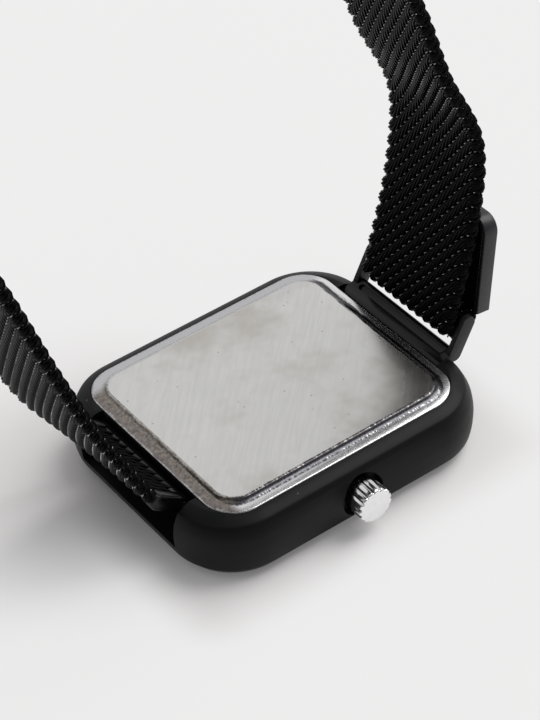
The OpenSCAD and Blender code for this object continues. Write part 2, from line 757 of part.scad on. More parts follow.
// Folded steel end piece that joins the mesh to the left spring bar
module strap_end_clamp() {
  mouth = hinge_at(0);
  v = clamp_dir;
  side = left_of(v);
  half = strap_thick / 2;
  color([0.05, 0.05, 0.055]) union() {
    difference() {
      union() {
        rod_y(left_bar, barrel_r, -strap_wid / 2, strap_wid / 2);
        across(strap_wid) polygon([
          left_bar + barrel_r * side, mouth + half * side - 1.6 * v, mouth + half * side,
          mouth - half * side, mouth - half * side - 1.6 * v, left_bar - barrel_r * side]);
      }
      rod_y(left_bar, barrel_bore, -strap_wid, strap_wid);
      rod_y(mouth, eye_r + soft_gap, -strap_wid, strap_wid);
    }
    eye_pin(mouth, neck_angle(0), strap_wid);
  }
}

// Rectangular ring that the mesh folds round
module ring_frame() {
  slot_half = strap_wid / 2 + 0.15;
  outer_half = slot_half + arm_thick;
  web = right_bar + ring_web;
  web_r = web_thick / 2;
  v = unit(ring_web);
  u = unit(far_bar - web);
  arm_r = 1.0;
  groove_mid = norm(ring_web) - web_r / 2 - groove_wid / 2;
  groove_half = outer_half - groove_end - groove_wid / 2;
  color([0.05, 0.05, 0.055]) difference() {
    union() {
      rod_y(right_bar, barrel_r, -outer_half, outer_half);
      across(2 * outer_half) polygon([
        right_bar + barrel_r * left_of(v), web + web_r * left_of(v),
        web - web_r * left_of(v), right_bar - barrel_r * left_of(v)]);
      rod_y(web, web_r, -outer_half, outer_half);
      for (s = [-1, 1]) translate([0, s * (slot_half + arm_thick / 2), 0]) {
        across(arm_thick) polygon([web + arm_r * left_of(u), far_bar + arm_r * left_of(u),
          far_bar - arm_r * left_of(u), web - arm_r * left_of(u)]);
        rod_y(far_bar, arm_r, -arm_thick / 2, arm_thick / 2);
        rod_y(web, arm_r, -arm_thick / 2, arm_thick / 2);
      }
      rod_y(far_bar, far_bar_r, -outer_half, outer_half);
    }
    rod_y(right_bar, barrel_bore, -strap_wid, strap_wid);
    translate([right_bar[0], 0, right_bar[1]]) rotate([0, -angle_of(v), 0])
      translate([groove_mid, 0, groove_floor]) {
        translate([-groove_wid / 2, -groove_half, 0])
          cube([groove_wid, 2 * groove_half, 2 * barrel_r]);
        for (s = [-1, 1]) translate([0, s * groove_half, 0])
          cylinder(r = groove_wid / 2, h = 2 * barrel_r);
      }
  }
}

// Mesh that turns round the ring's far bar, from the open row to the tail hinge
module strap_fold() {
  turn = 16;
  span = fold_end_angle - fold_start_angle;
  angles = [for (j = [0:turn]) fold_start_angle + span * j / turn];
  inner = fold_r - strap_thick / 2;
  outer = fold_r + strap_thick / 2;
  color([0.06, 0.06, 0.065]) union() {
    difference() {
      union() {
        across(strap_wid) polygon(concat(
          [for (a = angles) far_bar + polar(outer, a)],
          [for (j = [turn:-1:0]) far_bar + polar(inner, angles[j])]));
        rod_y(fold_start, eye_r, -strap_wid / 2, strap_wid / 2);
      }
      rod_y(far_bar, inner, -strap_wid, strap_wid);
      rod_y(tail_axis, eye_r + soft_gap, -strap_wid, strap_wid);
      eye_cut(fold_start, neck_angle(link_count), neck_angle(link_count), open_gap, strap_wid);
    }
    eye_pin(tail_axis, fold_end_angle - 90, strap_wid);
  }
}

// Places pieces of the clasp, drawn with X across its thickness and Y along its length
module on_clasp() {
  translate([tail_axis[0], 0, tail_axis[1]]) rotate([0, -clasp_lean, 0]) children();
}

// Free end of the mesh, from the tail hinge into the clasp
module strap_tail() {
  mid = clasp_inner + clasp_thick / 2;
  tongue = (clasp_thick - clasp_wall - cover_thick) / 2 - lay_gap;
  centre = clasp_inner + cover_thick + (clasp_thick - clasp_wall - cover_thick) / 2;
  color([0.06, 0.06, 0.065]) on_clasp() difference() {
    union() {
      rod_y([0, 0], eye_r, -strap_wid / 2, strap_wid / 2);
      across(strap_wid) polygon([[-0.8, 0], [-0.35, clasp_start - 0.1], [mid + 0.8, clasp_start - 0.1],
        [0.95, 0]]);
      across(strap_wid - 2 * tail_edge - 0.2) translate([centre - tongue, clasp_start - 0.2])
        square([2 * tongue, tongue_len]);
    }
    eye_cut([0, 0], fold_end_angle - 90 - clasp_lean, fold_end_angle - 90 - clasp_lean + clasp_lift,
      run_gap, strap_wid);
  }
}

// Outline of the clasp plate with rounded free corners, thick along X
module clasp_block(x0, x1, inset, from) {
  l = clasp_len - inset;
  w = clasp_wid - 2 * inset;
  r = clasp_corner - inset / 2;
  translate([x0, 0, 0]) rotate([90, 0, 90]) linear_extrude(x1 - x0) union() {
    translate([-w / 2, clasp_start + from]) square([w, l - from - r]);
    translate([-w / 2 + r, clasp_start + from]) square([w - 2 * r, l - from]);
    for (s = [-1, 1]) translate([s * (w / 2 - r), clasp_start + l - r]) circle(r);
  }
}

module clasp_housing() {
  outer = clasp_inner + clasp_thick;
  color([0.05, 0.05, 0.055]) on_clasp() difference() {
    clasp_block(clasp_inner, outer, 0, 0);
    clasp_block(clasp_inner - 1, outer - clasp_wall, clasp_wall + 0.05, clasp_wall);
    translate([clasp_inner - 1, -strap_wid / 2 + tail_edge, 0])
      cube([clasp_thick - clasp_wall + 1, strap_wid - 2 * tail_edge, clasp_start + 1]);
  }
}

module clasp_magnet() {
  outer = clasp_inner + clasp_thick - clasp_wall - lay_gap;
  from = clasp_start + tongue_len + 1;
  wid = clasp_wid - 2 * magnet_inset;
  color([0.6, 0.6, 0.62]) on_clasp() translate([outer - magnet_thick, -wid / 2, from])
    cube([magnet_thick, wid, clasp_start + clasp_len - clasp_corner - from]);
}

module clasp_cover() {
  color([0.08, 0.08, 0.085]) on_clasp() clasp_block(clasp_inner, clasp_inner + cover_thick,
    clasp_wall + 0.05 + lay_gap, clasp_wall + lay_gap);
}

case_shell();
lens();
lens_gasket();
display_panel();
lit_segments();
module_holder();
circuit_board();
driver_chip();
crystal_can();
board_parts();
cell_insulator();
coin_cell();
cell_clip();
negative_contact();
plate_insulator();
switch_leaf();
holder_screws();
back_gasket();
back_plate();
button_tube();
button_head();
button_stem();
button_seal();
button_spring();
button_clip();
left_bar_tube();
left_bar_tips();
left_bar_spring();
right_bar_tube();
right_bar_tips();
right_bar_spring();
strap_end_clamp();
strap_link_01();
strap_link_02();
strap_link_03();
strap_link_04();
strap_link_05();
strap_link_06();
strap_link_07();
strap_link_08();
strap_link_09();
strap_link_10();
strap_link_11();
strap_link_12();
strap_link_13();
strap_link_14();
strap_link_15();
strap_link_16();
ring_frame();
strap_fold();
strap_tail();
clasp_housing();
clasp_magnet();
clasp_cover();
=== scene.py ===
"""Square digital wristwatch on its face, with a woven steel mesh strap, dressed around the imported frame."""
import json
import math

import bmesh
import bpy
import numpy as np
from mathutils import Matrix, Vector


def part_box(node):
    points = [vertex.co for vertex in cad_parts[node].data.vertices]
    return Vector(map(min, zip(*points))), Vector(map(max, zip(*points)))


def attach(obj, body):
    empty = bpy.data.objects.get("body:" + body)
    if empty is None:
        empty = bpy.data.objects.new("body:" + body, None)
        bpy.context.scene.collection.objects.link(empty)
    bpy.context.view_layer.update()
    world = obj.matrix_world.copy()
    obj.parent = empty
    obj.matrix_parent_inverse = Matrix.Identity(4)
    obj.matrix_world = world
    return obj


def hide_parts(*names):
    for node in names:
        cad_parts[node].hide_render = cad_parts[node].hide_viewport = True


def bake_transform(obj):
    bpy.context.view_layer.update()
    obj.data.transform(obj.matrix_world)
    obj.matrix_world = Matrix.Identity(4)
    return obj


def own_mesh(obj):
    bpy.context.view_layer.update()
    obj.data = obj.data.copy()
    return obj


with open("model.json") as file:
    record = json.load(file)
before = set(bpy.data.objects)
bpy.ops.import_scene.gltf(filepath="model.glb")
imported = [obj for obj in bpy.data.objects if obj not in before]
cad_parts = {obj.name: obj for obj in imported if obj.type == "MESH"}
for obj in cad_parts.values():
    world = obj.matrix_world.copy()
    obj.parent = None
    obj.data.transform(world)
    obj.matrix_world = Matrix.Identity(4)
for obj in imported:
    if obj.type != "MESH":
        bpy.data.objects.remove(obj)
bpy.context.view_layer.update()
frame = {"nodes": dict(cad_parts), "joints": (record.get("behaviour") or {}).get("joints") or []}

MM = 0.001
joints = {j["name"]: j for j in frame["joints"]}


def place(name):
    """X and Z of a joint in millimetres."""
    pos = joints[name]["pos_m"]
    return np.array([pos[0], pos[2]]) / MM


def box_mm(node):
    """Lowest and highest corner of a CAD node in millimetres."""
    low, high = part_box(node)
    return np.array(low) / MM, np.array(high) / MM


# Sizes, read from the frame where it gives them
CASE_LOW, CASE_TOP = box_mm("case_shell")
CASE_LEN = CASE_TOP[0] - CASE_LOW[0]
CASE_WID = CASE_TOP[1] - CASE_LOW[1]
CASE_HIGH = CASE_TOP[2]
PLATE_LOW, PLATE_TOP = box_mm("back_plate")
PLATE_LEN = PLATE_TOP[0] - PLATE_LOW[0]
PLATE_WID = PLATE_TOP[1] - PLATE_LOW[1]
STRAP_WID = box_mm("strap_link_08")[1][1] * 2
STRAP_THICK = 2.0
LEFT_BAR = place("strap_sway")
RIGHT_BAR = place("ring_swing")
FAR_BAR = place("fold_turn")
TAIL_AXIS = place("clasp_lift")
LINKS = sum(1 for name in joints if name.startswith("strap_flex"))
LUG_GAP = 20.7
CASE_CORNER = 9.3
NOTCH_WALL = PLATE_LEN / 2 + 0.1
NOTCH_FLOOR = 3.0
BUTTON_Z = 4.6


# Plain geometry helpers, in millimetres

SHARP = 32.0          # degrees; edges sharper than this stay crisp
SAME_POINT = 0.002    # points closer than this become one
SAME_PLANE = 0.5      # degrees; faces that meet flatter than this become one


def placed(name, data):
    """New object in the scene."""
    obj = bpy.data.objects.new(name, data)
    bpy.context.scene.collection.objects.link(obj)
    return obj


def add_mesh(name, verts, faces, material, sharp=SHARP):
    """Object from points in millimetres, smooth apart from edges sharper than an angle in degrees."""
    mesh = bpy.data.meshes.new(name)
    mesh.from_pydata([tuple(float(c) * MM for c in v) for v in verts], [], [tuple(f) for f in faces])
    mesh.materials.append(material)
    obj = placed(name, mesh)
    shade(obj, sharp)
    return obj


def shade(obj, sharp=SHARP):
    """Smooth shading, with edges sharper than the angle kept crisp."""
    bm = bmesh.new()
    bm.from_mesh(obj.data)
    bmesh.ops.recalc_face_normals(bm, faces=bm.faces)
    for face in bm.faces:
        face.smooth = True
    for edge in bm.edges:
        edge.smooth = len(edge.link_faces) != 2 or edge.calc_face_angle() < math.radians(sharp)
    bm.to_mesh(obj.data)
    bm.free()


def applied(obj):
    """Applies the object's modifiers to its mesh."""
    graph = bpy.context.evaluated_depsgraph_get()
    mesh = bpy.data.meshes.new_from_object(obj.evaluated_get(graph))
    old = obj.data
    obj.modifiers.clear()
    obj.data = mesh
    bpy.data.meshes.remove(old)


def cut(obj, cutters):
    """Boolean difference with each cutter, which is then removed."""
    for cutter in cutters:
        mod = obj.modifiers.new("cut", "BOOLEAN")
        mod.operation = "DIFFERENCE"
        mod.solver = "EXACT"
        mod.object = cutter
        applied(obj)
        drop(cutter)


def drop(obj):
    """Removes an object and its mesh."""
    mesh = obj.data
    bpy.data.objects.remove(obj)
    bpy.data.meshes.remove(mesh)


def eased(obj, width, segments=3, angle=35.0, sharp=40.0):
    """Rounds the object's hard edges by a width in millimetres."""
    bm = bmesh.new()
    bm.from_mesh(obj.data)
    bmesh.ops.remove_doubles(bm, verts=bm.verts, dist=SAME_POINT * MM)
    bmesh.ops.dissolve_limit(bm, angle_limit=math.radians(SAME_PLANE), verts=bm.verts, edges=bm.edges)
    bm.to_mesh(obj.data)
    bm.free()
    mod = obj.modifiers.new("ease", "BEVEL")
    mod.width = width * MM
    mod.segments = segments
    mod.limit_method = "ANGLE"
    mod.angle_limit = math.radians(angle)
    mod.use_clamp_overlap = True
    applied(obj)
    shade(obj, sharp)


def rounded_outline(length, width, radius, steps=24):
    """Points round a rectangle with round corners, counter-clockwise."""
    x, y = length / 2 - radius, width / 2 - radius
    points = []
    for k, (cx, cy) in enumerate([(x, y), (-x, y), (-x, -y), (x, -y)]):
        for i in range(steps + 1):
            a = math.pi / 2 * (k + i / steps)
            points.append((cx + radius * math.cos(a), cy + radius * math.sin(a)))
    return points


def loft(name, rings, material, sharp=SHARP):
    """Skin through rings with the same number of points, closed at both ends."""
    n = len(rings[0])
    verts = [p for ring in rings for p in ring]
    faces = []
    for i in range(len(rings) - 1):
        for k in range(n):
            a, b = i * n + k, i * n + (k + 1) % n
            faces.append((a, b, b + n, a + n))
    faces.append(tuple(reversed(range(n))))
    faces.append(tuple(range((len(rings) - 1) * n, len(rings) * n)))
    return add_mesh(name, verts, faces, material, sharp)


def slab(name, length, width, radius, z0, z1, material):
    """Upright block with a rounded rectangular outline."""
    outline = rounded_outline(length, width, radius)
    return loft(name, [[(x, y, z) for x, y in outline] for z in (z0, z1)], material)


def rod_y(name, at, radius, y0, y1, material, sides=48):
    """Cylinder along Y, on an axis at X and Z."""
    ring = [(radius * math.cos(a), radius * math.sin(a))
            for a in (2 * math.pi * k / sides for k in range(sides))]
    return loft(name, [[(at[0] + x, y, at[1] + z) for x, z in ring] for y in (y0, y1)], material)


def block(name, low, high, material):
    """Plain block between two corners."""
    outline = [(low[0], low[1]), (high[0], low[1]), (high[0], high[1]), (low[0], high[1])]
    return loft(name, [[(x, y, z) for x, y in outline] for z in (low[2], high[2])], material)


def copy_of(node, name, material):
    """A new piece with the shape of a CAD node, which it stands for."""
    obj = placed(name, frame["nodes"][node].data.copy())
    if "custom_normal" in obj.data.attributes:
        obj.data.attributes.remove(obj.data.attributes["custom_normal"])
    obj.data.materials.clear()
    obj.data.materials.append(material)
    return obj


# Materials

COAT_ROUGH = 0.25
TONE_ENDS = (0.3, 0.7)        # part of the noise over which the tone runs from dark to light
STAIN_ENDS = (0.44, 0.72)     # part of the noise over which a stain comes in
SPECK_SCALE, SPECK_SIZE = 1400.0, 0.16
LEAST_ROUGH = 0.02


def node_of(tree, kind, **values):
    """Shader node with its inputs or settings filled in."""
    node = tree.nodes.new(kind)
    for key, value in values.items():
        if key in node.inputs:
            node.inputs[key].default_value = value
        else:
            setattr(node, key, value)
    return node


def maths(tree, operation, *values):
    """Output of a node that works on values, each of them a socket or a plain number."""
    node = node_of(tree, "ShaderNodeMath", operation=operation)
    for socket, value in zip(node.inputs, values):
        if isinstance(value, float):
            socket.default_value = value
        else:
            tree.links.new(value, socket)
    return node.outputs[0]


def noise(tree, spot, scale, detail, rough):
    """Output of a noise texture."""
    node = node_of(tree, "ShaderNodeTexNoise", Scale=scale, Detail=detail, Roughness=rough)
    tree.links.new(spot, node.inputs["Vector"])
    return node.outputs["Fac"]


def map_range(tree, value, from_ends, to_ends=(0.0, 1.0), smooth=True):
    """Output of a node that maps one range of a value onto another."""
    node = tree.nodes.new("ShaderNodeMapRange")
    if smooth:
        node.interpolation_type = "SMOOTHSTEP"
    for key, end in zip(("From Min", "From Max", "To Min", "To Max"), from_ends + to_ends):
        node.inputs[key].default_value = end
    tree.links.new(value, node.inputs["Value"])
    return node.outputs["Result"]


def mix_colour(tree, share, first, second):
    """Output of a node that mixes two colours, the second of them a socket or a plain tone."""
    node = node_of(tree, "ShaderNodeMix", data_type="RGBA")
    tree.links.new(share, node.inputs["Factor"])
    tree.links.new(first, node.inputs["A"])
    if isinstance(second, tuple):
        node.inputs["B"].default_value = second + (1,)
    else:
        tree.links.new(second, node.inputs["B"])
    return node.outputs["Result"]


def stained(tree, spot, colour, tone, scale):
    """Colour with soft stains of another tone."""
    stain = noise(tree, spot, scale, 4.0, 0.65)
    return mix_colour(tree, map_range(tree, stain, STAIN_ENDS), colour, tone)


def specked(tree, spot, colour, tone, share):
    """Colour with small round specks of another tone."""
    dots = node_of(tree, "ShaderNodeTexVoronoi", Scale=SPECK_SCALE)
    tree.links.new(spot, dots.inputs["Vector"])
    separate = tree.nodes.new("ShaderNodeSeparateColor")
    tree.links.new(dots.outputs["Color"], separate.inputs["Color"])
    small = maths(tree, "LESS_THAN", dots.outputs["Distance"], SPECK_SIZE)
    rare = maths(tree, "GREATER_THAN", separate.outputs["Red"], 1 - share)
    return mix_colour(tree, maths(tree, "MULTIPLY", small, rare), colour, tone)


def grained(name, tone, rough, metal=0.0, spread=0.15, rough_spread=0.08, grain=900.0,
            stretch=(1, 1, 1), bump=0.15, depth=0.02, spec=0.5, coat=0.0, specks=0.0,
            speck_tone=(0.4, 0.4, 0.4), tint=None, tint_scale=90.0, turn=0.0, blotch=60.0,
            blotch_share=0.35):
    """Principled material with grain in colour, roughness and bump, soft blotches and optional specks."""
    material = bpy.data.materials.new(name)
    material.use_nodes = True
    tree = material.node_tree
    link = tree.links.new
    shader = tree.nodes["Principled BSDF"]
    shader.inputs["Metallic"].default_value = metal
    shader.inputs["Specular IOR Level"].default_value = spec
    shader.inputs["Coat Weight"].default_value = coat
    shader.inputs["Coat Roughness"].default_value = COAT_ROUGH
    spot = node_of(tree, "ShaderNodeTexCoord").outputs["Object"]
    turned = node_of(tree, "ShaderNodeMapping", Rotation=(0, 0, math.radians(turn)))
    link(spot, turned.inputs["Vector"])
    mapping = node_of(tree, "ShaderNodeMapping", Scale=stretch)
    link(turned.outputs["Vector"], mapping.inputs["Vector"])
    fine = noise(tree, mapping.outputs["Vector"], grain, 5.0, 0.6)
    both = node_of(tree, "ShaderNodeMix", data_type="FLOAT", Factor=blotch_share)
    link(fine, both.inputs["A"])
    link(noise(tree, spot, blotch, 3.0, 0.55), both.inputs["B"])
    dark = tuple(c * (1 - spread) for c in tone) + (1,)
    light = tuple(min(1, c * (1 + spread)) for c in tone) + (1,)
    ramp = tree.nodes.new("ShaderNodeValToRGB")
    for element, at, end_tone in zip(ramp.color_ramp.elements, TONE_ENDS, (dark, light)):
        element.position = at
        element.color = end_tone
    link(both.outputs["Result"], ramp.inputs["Fac"])
    colour = ramp.outputs["Color"]
    if tint:
        colour = stained(tree, spot, colour, tint, tint_scale)
    if specks > 0:
        colour = specked(tree, spot, colour, speck_tone, specks)
    link(colour, shader.inputs["Base Color"])
    rough_ends = (max(LEAST_ROUGH, rough - rough_spread), min(1, rough + rough_spread))
    roughness = map_range(tree, both.outputs["Result"], (0.0, 1.0), rough_ends, smooth=False)
    link(roughness, shader.inputs["Roughness"])
    relief = node_of(tree, "ShaderNodeBump", Strength=bump, Distance=depth * MM)
    link(fine, relief.inputs["Height"])
    link(relief.outputs["Normal"], shader.inputs["Normal"])
    return material


MAT = {
    "case": grained("case_soft_black", (0.0042, 0.0045, 0.0054), 0.44, spread=0.10, grain=2600.0, bump=0.12,
                    depth=0.01, spec=0.16, specks=0.012, speck_tone=(0.10, 0.10, 0.10)),
    "notch": grained("notch_black", (0.005, 0.005, 0.005), 0.5, spec=0.25, grain=1800.0, bump=0.1,
                     depth=0.01),
    "mesh": grained("mesh_wire_black", (0.0030, 0.0030, 0.0038), 0.40, spread=0.3, grain=1500.0,
                    bump=0.08, depth=0.01, spec=0.05, blotch=90.0),
    "glint": grained("mesh_wire_bare", (0.34, 0.34, 0.35), 0.2, metal=1.0, spread=0.9, grain=900.0,
                     bump=0.1, depth=0.005, blotch=160.0),
    "core": grained("mesh_core_black", (0.003, 0.003, 0.003), 0.6, grain=1500.0, bump=0.1, spec=0.2),
    "trim": grained("trim_gloss_black", (0.0028, 0.0028, 0.0034), 0.2, spread=0.2, grain=1300.0,
                    bump=0.10, depth=0.012, spec=0.3),
    "cast": grained("cast_satin_black", (0.012, 0.012, 0.014), 0.42, spread=0.25, grain=1300.0, bump=0.45,
                    depth=0.03, spec=0.35, specks=0.05, speck_tone=(0.09, 0.09, 0.09)),
    "satin": grained("clasp_satin_black", (0.018, 0.0185, 0.021), 0.36, spread=0.12, grain=2200.0, bump=0.15,
                     depth=0.01, spec=0.38, specks=0.01, speck_tone=(0.1, 0.1, 0.1)),
    "steel": grained("plate_brushed_steel", (0.76, 0.755, 0.745), 0.25, metal=1.0, spread=0.07, grain=1500.0,
                     stretch=(0.10, 1.5, 1.0), turn=-45.0, bump=0.12, depth=0.008, blotch=110.0,
                     blotch_share=0.4, tint=(0.58, 0.55, 0.51), tint_scale=60.0, specks=0.06,
                     speck_tone=(0.42, 0.41, 0.40)),
    "chrome": grained("button_chrome", (0.88, 0.88, 0.885), 0.13, metal=1.0, spread=0.05, grain=1200.0,
                      bump=0.08, depth=0.01, rough_spread=0.05),
    "board": grained("board_green", (0.03, 0.14, 0.07), 0.4, spread=0.25, grain=700.0, bump=0.15, coat=0.3),
}
# Plain looks: roughness, metal, spread of the tone, grain and bump after the name and the tone
for look, title, tone, rough, metal, spread, grain, bump in (
        ("spring_steel", "spring_steel", (0.5, 0.5, 0.5), 0.3, 1.0, 0.15, 1500.0, 0.1),
        ("brass", "bar_brass", (0.62, 0.47, 0.26), 0.3, 1.0, 0.2, 1400.0, 0.2),
        ("rubber", "gasket_rubber", (0.02, 0.02, 0.02), 0.75, 0.0, 0.15, 1500.0, 0.2),
        ("plastic", "holder_plastic", (0.62, 0.62, 0.58), 0.5, 0.0, 0.05, 1200.0, 0.1),
        ("chip", "chip_black", (0.02, 0.02, 0.02), 0.45, 0.0, 0.15, 1800.0, 0.15),
        ("can", "can_metal", (0.62, 0.62, 0.63), 0.25, 1.0, 0.06, 1500.0, 0.1),
        ("parts", "parts_brown", (0.30, 0.22, 0.14), 0.5, 0.0, 0.2, 1500.0, 0.1),
        ("film", "film_yellow", (0.62, 0.42, 0.09), 0.35, 0.0, 0.08, 500.0, 0.05),
        ("cell", "cell_steel", (0.58, 0.58, 0.57), 0.25, 1.0, 0.06, 1200.0, 0.1),
        ("gold", "contact_gold", (0.75, 0.55, 0.25), 0.25, 1.0, 0.08, 1300.0, 0.1),
        ("magnet", "magnet_nickel", (0.55, 0.54, 0.52), 0.3, 1.0, 0.08, 1300.0, 0.1),
        ("panel", "panel_black", (0.012, 0.012, 0.014), 0.3, 0.0, 0.15, 1500.0, 0.05)):
    MAT[look] = grained(title, tone, rough, metal=metal, spread=spread, grain=grain, bump=bump)


# The border's tones are painted reflections and shade, set by side and by distance in from the edge.
JAG, JAG_SCALE = 0.9, 4200.0  # millimetres over which the border's tones wander, and how finely
JAG_MIDDLE = 0.45
RAMP_REACH = 3.0              # run of the tones in from the plate's edge
BRUSH = (1.0, 0.16, 1.0)
WORN_SCALE, WORN_ENDS, WORN_TONES = 2600.0, (0.3, 0.75), (0.35, 1.3)
TURN_RIGHT, TURN_LEFT, TURN_BACK = (15.6, 17.2), (-16.9, -15.4), (12.6, 14.4)  # where the sides meet


def border_painted_reflection_material():
    """Pressed steel border whose tones paint reflections and shade side by side: in front a painted bright
    zone and a painted dark cove, to the right a painted bright zone and a painted dark band, behind mid grey
    with a painted darker line, to the left darker brown with worn specks and a painted dark line at the rise.
    """
    material = grained("plate_border_painted_reflection", (0.8, 0.8, 0.8), 0.26, metal=1.0, grain=1600.0, bump=0.25,
                       depth=0.015)
    tree = material.node_tree
    link = tree.links.new
    spot = node_of(tree, "ShaderNodeTexCoord").outputs["Object"]
    axes = node_of(tree, "ShaderNodeSeparateXYZ")
    link(spot, axes.inputs[0])
    inset = node_of(tree, "ShaderNodeAttribute", attribute_name="inset")
    brush = node_of(tree, "ShaderNodeMapping", Scale=BRUSH)
    link(spot, brush.inputs["Vector"])
    jag = noise(tree, brush.outputs["Vector"], JAG_SCALE, 3.0, 0.6)
    shift = maths(tree, "MULTIPLY_ADD", jag, JAG, inset.outputs["Fac"])
    scaled = maths(tree, "DIVIDE", shift, RAMP_REACH)

    def profile_ramp(stops):
        """Tones at distances in from the plate's edge, which paint the border's reflections and shade."""
        ramp = tree.nodes.new("ShaderNodeValToRGB")
        while len(ramp.color_ramp.elements) < len(stops):
            ramp.color_ramp.elements.new(0.5)
        for element, (at, tone) in zip(ramp.color_ramp.elements, stops):
            element.position = (at + JAG_MIDDLE) / RAMP_REACH
            element.color = tuple(tone) + (1,)
        link(scaled, ramp.inputs["Fac"])
        return ramp.outputs["Color"]

    def mixed(first, second, axis, ends):
        """One colour that turns into another between two places along an axis."""
        share = map_range(tree, axes.outputs[axis], (ends[0] * MM, ends[1] * MM))
        return mix_colour(tree, share, first, second)

    # Each side's stops paint reflections and shade: bright zones where the border would mirror light, dark
    # bands where it would mirror dark or lie in shade at the rise.
    front = profile_ramp([(0.0, (0.45, 0.45, 0.46)), (0.22, (0.82, 0.82, 0.83)), (1.05, (0.92, 0.92, 0.94)),
                          (1.25, (0.12, 0.12, 0.13)), (1.75, (0.03, 0.03, 0.035)), (1.95, (0.1, 0.09, 0.09)),
                          (2.2, (0.7, 0.7, 0.69))])
    right = profile_ramp([(0.0, (0.5, 0.5, 0.51)), (0.2, (0.95, 0.95, 0.96)), (0.8, (0.85, 0.85, 0.86)),
                          (1.0, (0.08, 0.08, 0.09)), (1.6, (0.03, 0.03, 0.035)), (1.95, (0.05, 0.05, 0.055)),
                          (2.2, (0.7, 0.7, 0.7))])
    left = profile_ramp([(0.0, (0.5, 0.49, 0.48)), (0.12, (0.6, 0.59, 0.59)), (0.3, (0.30, 0.27, 0.26)),
                         (1.3, (0.33, 0.29, 0.26)), (1.6, (0.42, 0.39, 0.35)), (1.8, (0.16, 0.12, 0.10)),
                         (2.05, (0.55, 0.53, 0.50))])
    back = profile_ramp([(0.0, (0.3, 0.3, 0.32)), (0.2, (0.62, 0.62, 0.64)), (1.4, (0.62, 0.62, 0.63)),
                         (1.7, (0.42, 0.42, 0.43)), (2.0, (0.66, 0.66, 0.66))])
    # The left side's brown carries worn specks as well as its painted dark line at the rise.
    worn = noise(tree, spot, WORN_SCALE, 4.0, 0.7)
    left_wear_and_painted_shade = node_of(tree, "ShaderNodeVectorMath", operation="SCALE")
    link(left, left_wear_and_painted_shade.inputs[0])
    link(map_range(tree, worn, WORN_ENDS, WORN_TONES, smooth=False), left_wear_and_painted_shade.inputs["Scale"])
    colour = mixed(front, right, "X", TURN_RIGHT)
    colour = mixed(left_wear_and_painted_shade.outputs[0], colour, "X", TURN_LEFT)
    colour = mixed(colour, back, "Y", TURN_BACK)
    link(colour, tree.nodes["Principled BSDF"].inputs["Base Color"])
    return material


def lens_material():
    """Dark tinted glass that lets the lit digits through."""
    material = grained("lens_tinted", (0.55, 0.5, 0.5), 0.05, spread=0.04, rough_spread=0.02, grain=400.0,
                       bump=0.02, depth=0.004)
    shader = material.node_tree.nodes["Principled BSDF"]
    shader.inputs["Transmission Weight"].default_value = 0.9
    shader.inputs["IOR"].default_value = 1.5
    return material


def lit_material():
    """Glowing red bars of the digits, a little uneven."""
    material = grained("segment_red", (0.85, 0.06, 0.03), 0.4, spread=0.1, grain=900.0, bump=0.02)
    shader = material.node_tree.nodes["Principled BSDF"]
    shader.inputs["Emission Color"].default_value = (1.0, 0.08, 0.04, 1)
    shader.inputs["Emission Strength"].default_value = 1.6
    return material


# The border's material paints its reflections and shade.
MAT["border"] = border_painted_reflection_material()
MAT["lens"] = lens_material()
MAT["lit"] = lit_material()

LOOK_NODES = {
    "case": "case_shell", "lens": "lens", "rubber": "lens_gasket back_gasket button_seal",
    "panel": "display_panel", "lit": "lit_segments", "plastic": "module_holder", "board": "circuit_board",
    "chip": "driver_chip", "can": "crystal_can", "parts": "board_parts",
    "film": "cell_insulator plate_insulator", "cell": "coin_cell cell_clip holder_screws button_stem",
    "gold": "negative_contact switch_leaf", "steel": "back_plate", "chrome": "button_head",
    "brass": "button_tube right_bar_tube right_bar_tips", "cast": "left_bar_tips",
    "spring_steel": "button_spring button_clip left_bar_spring right_bar_spring",
    "trim": "left_bar_tube strap_end_clamp ring_frame clasp_cover", "satin": "clasp_housing",
    "magnet": "clasp_magnet"}
NODE_LOOK = {node: look for look, nodes in LOOK_NODES.items() for node in nodes.split()}
for node_name, node_object in frame["nodes"].items():
    node_object.data.materials.clear()
    node_object.data.materials.append(MAT[NODE_LOOK.get(node_name, "mesh")])


# Case

def smooth_profile(points, steps):
    """Catmull-Rom points through a list of pairs."""
    out = []
    pts = [points[0]] + list(points) + [points[-1]]
    for i in range(1, len(pts) - 2):
        a, b, c, d = (np.array(p, float) for p in pts[i - 1:i + 3])
        for j in range(steps):
            t = j / steps
            out.append(0.5 * (2 * b + (c - a) * t + (2 * a - 5 * b + 4 * c - d) * t ** 2
                              + (3 * b - a - 3 * c + d) * t ** 3))
    out.append(np.array(points[-1], float))
    return out


FIT = 0.16            # room, both sides together, round a part that is let in
LENS_CORNER, WINDOW_CORNER, CAVITY_CORNER, SEAT_CORNER = 6.68, 5.3, 3.95, 4.93
LENS_SEAT, WINDOW_LEDGE, WINDOW_TOP, CAVITY_FLOOR, SEAT_DEPTH = 1.4, 2.6, 3.0, 2.2, 0.4
NOTCH_STEP = 1.2      # the cavity ends this far inside the wall of a notch
BAR_HOLE_R, BAR_HOLE_DEPTH = 0.5, 1.3
RECESS_R, RECESS_DEPTH, STEM_HOLE_R = 3.1, 1.7, 1.08
CASE_EDGE = 0.11      # width of the rounding on the edges


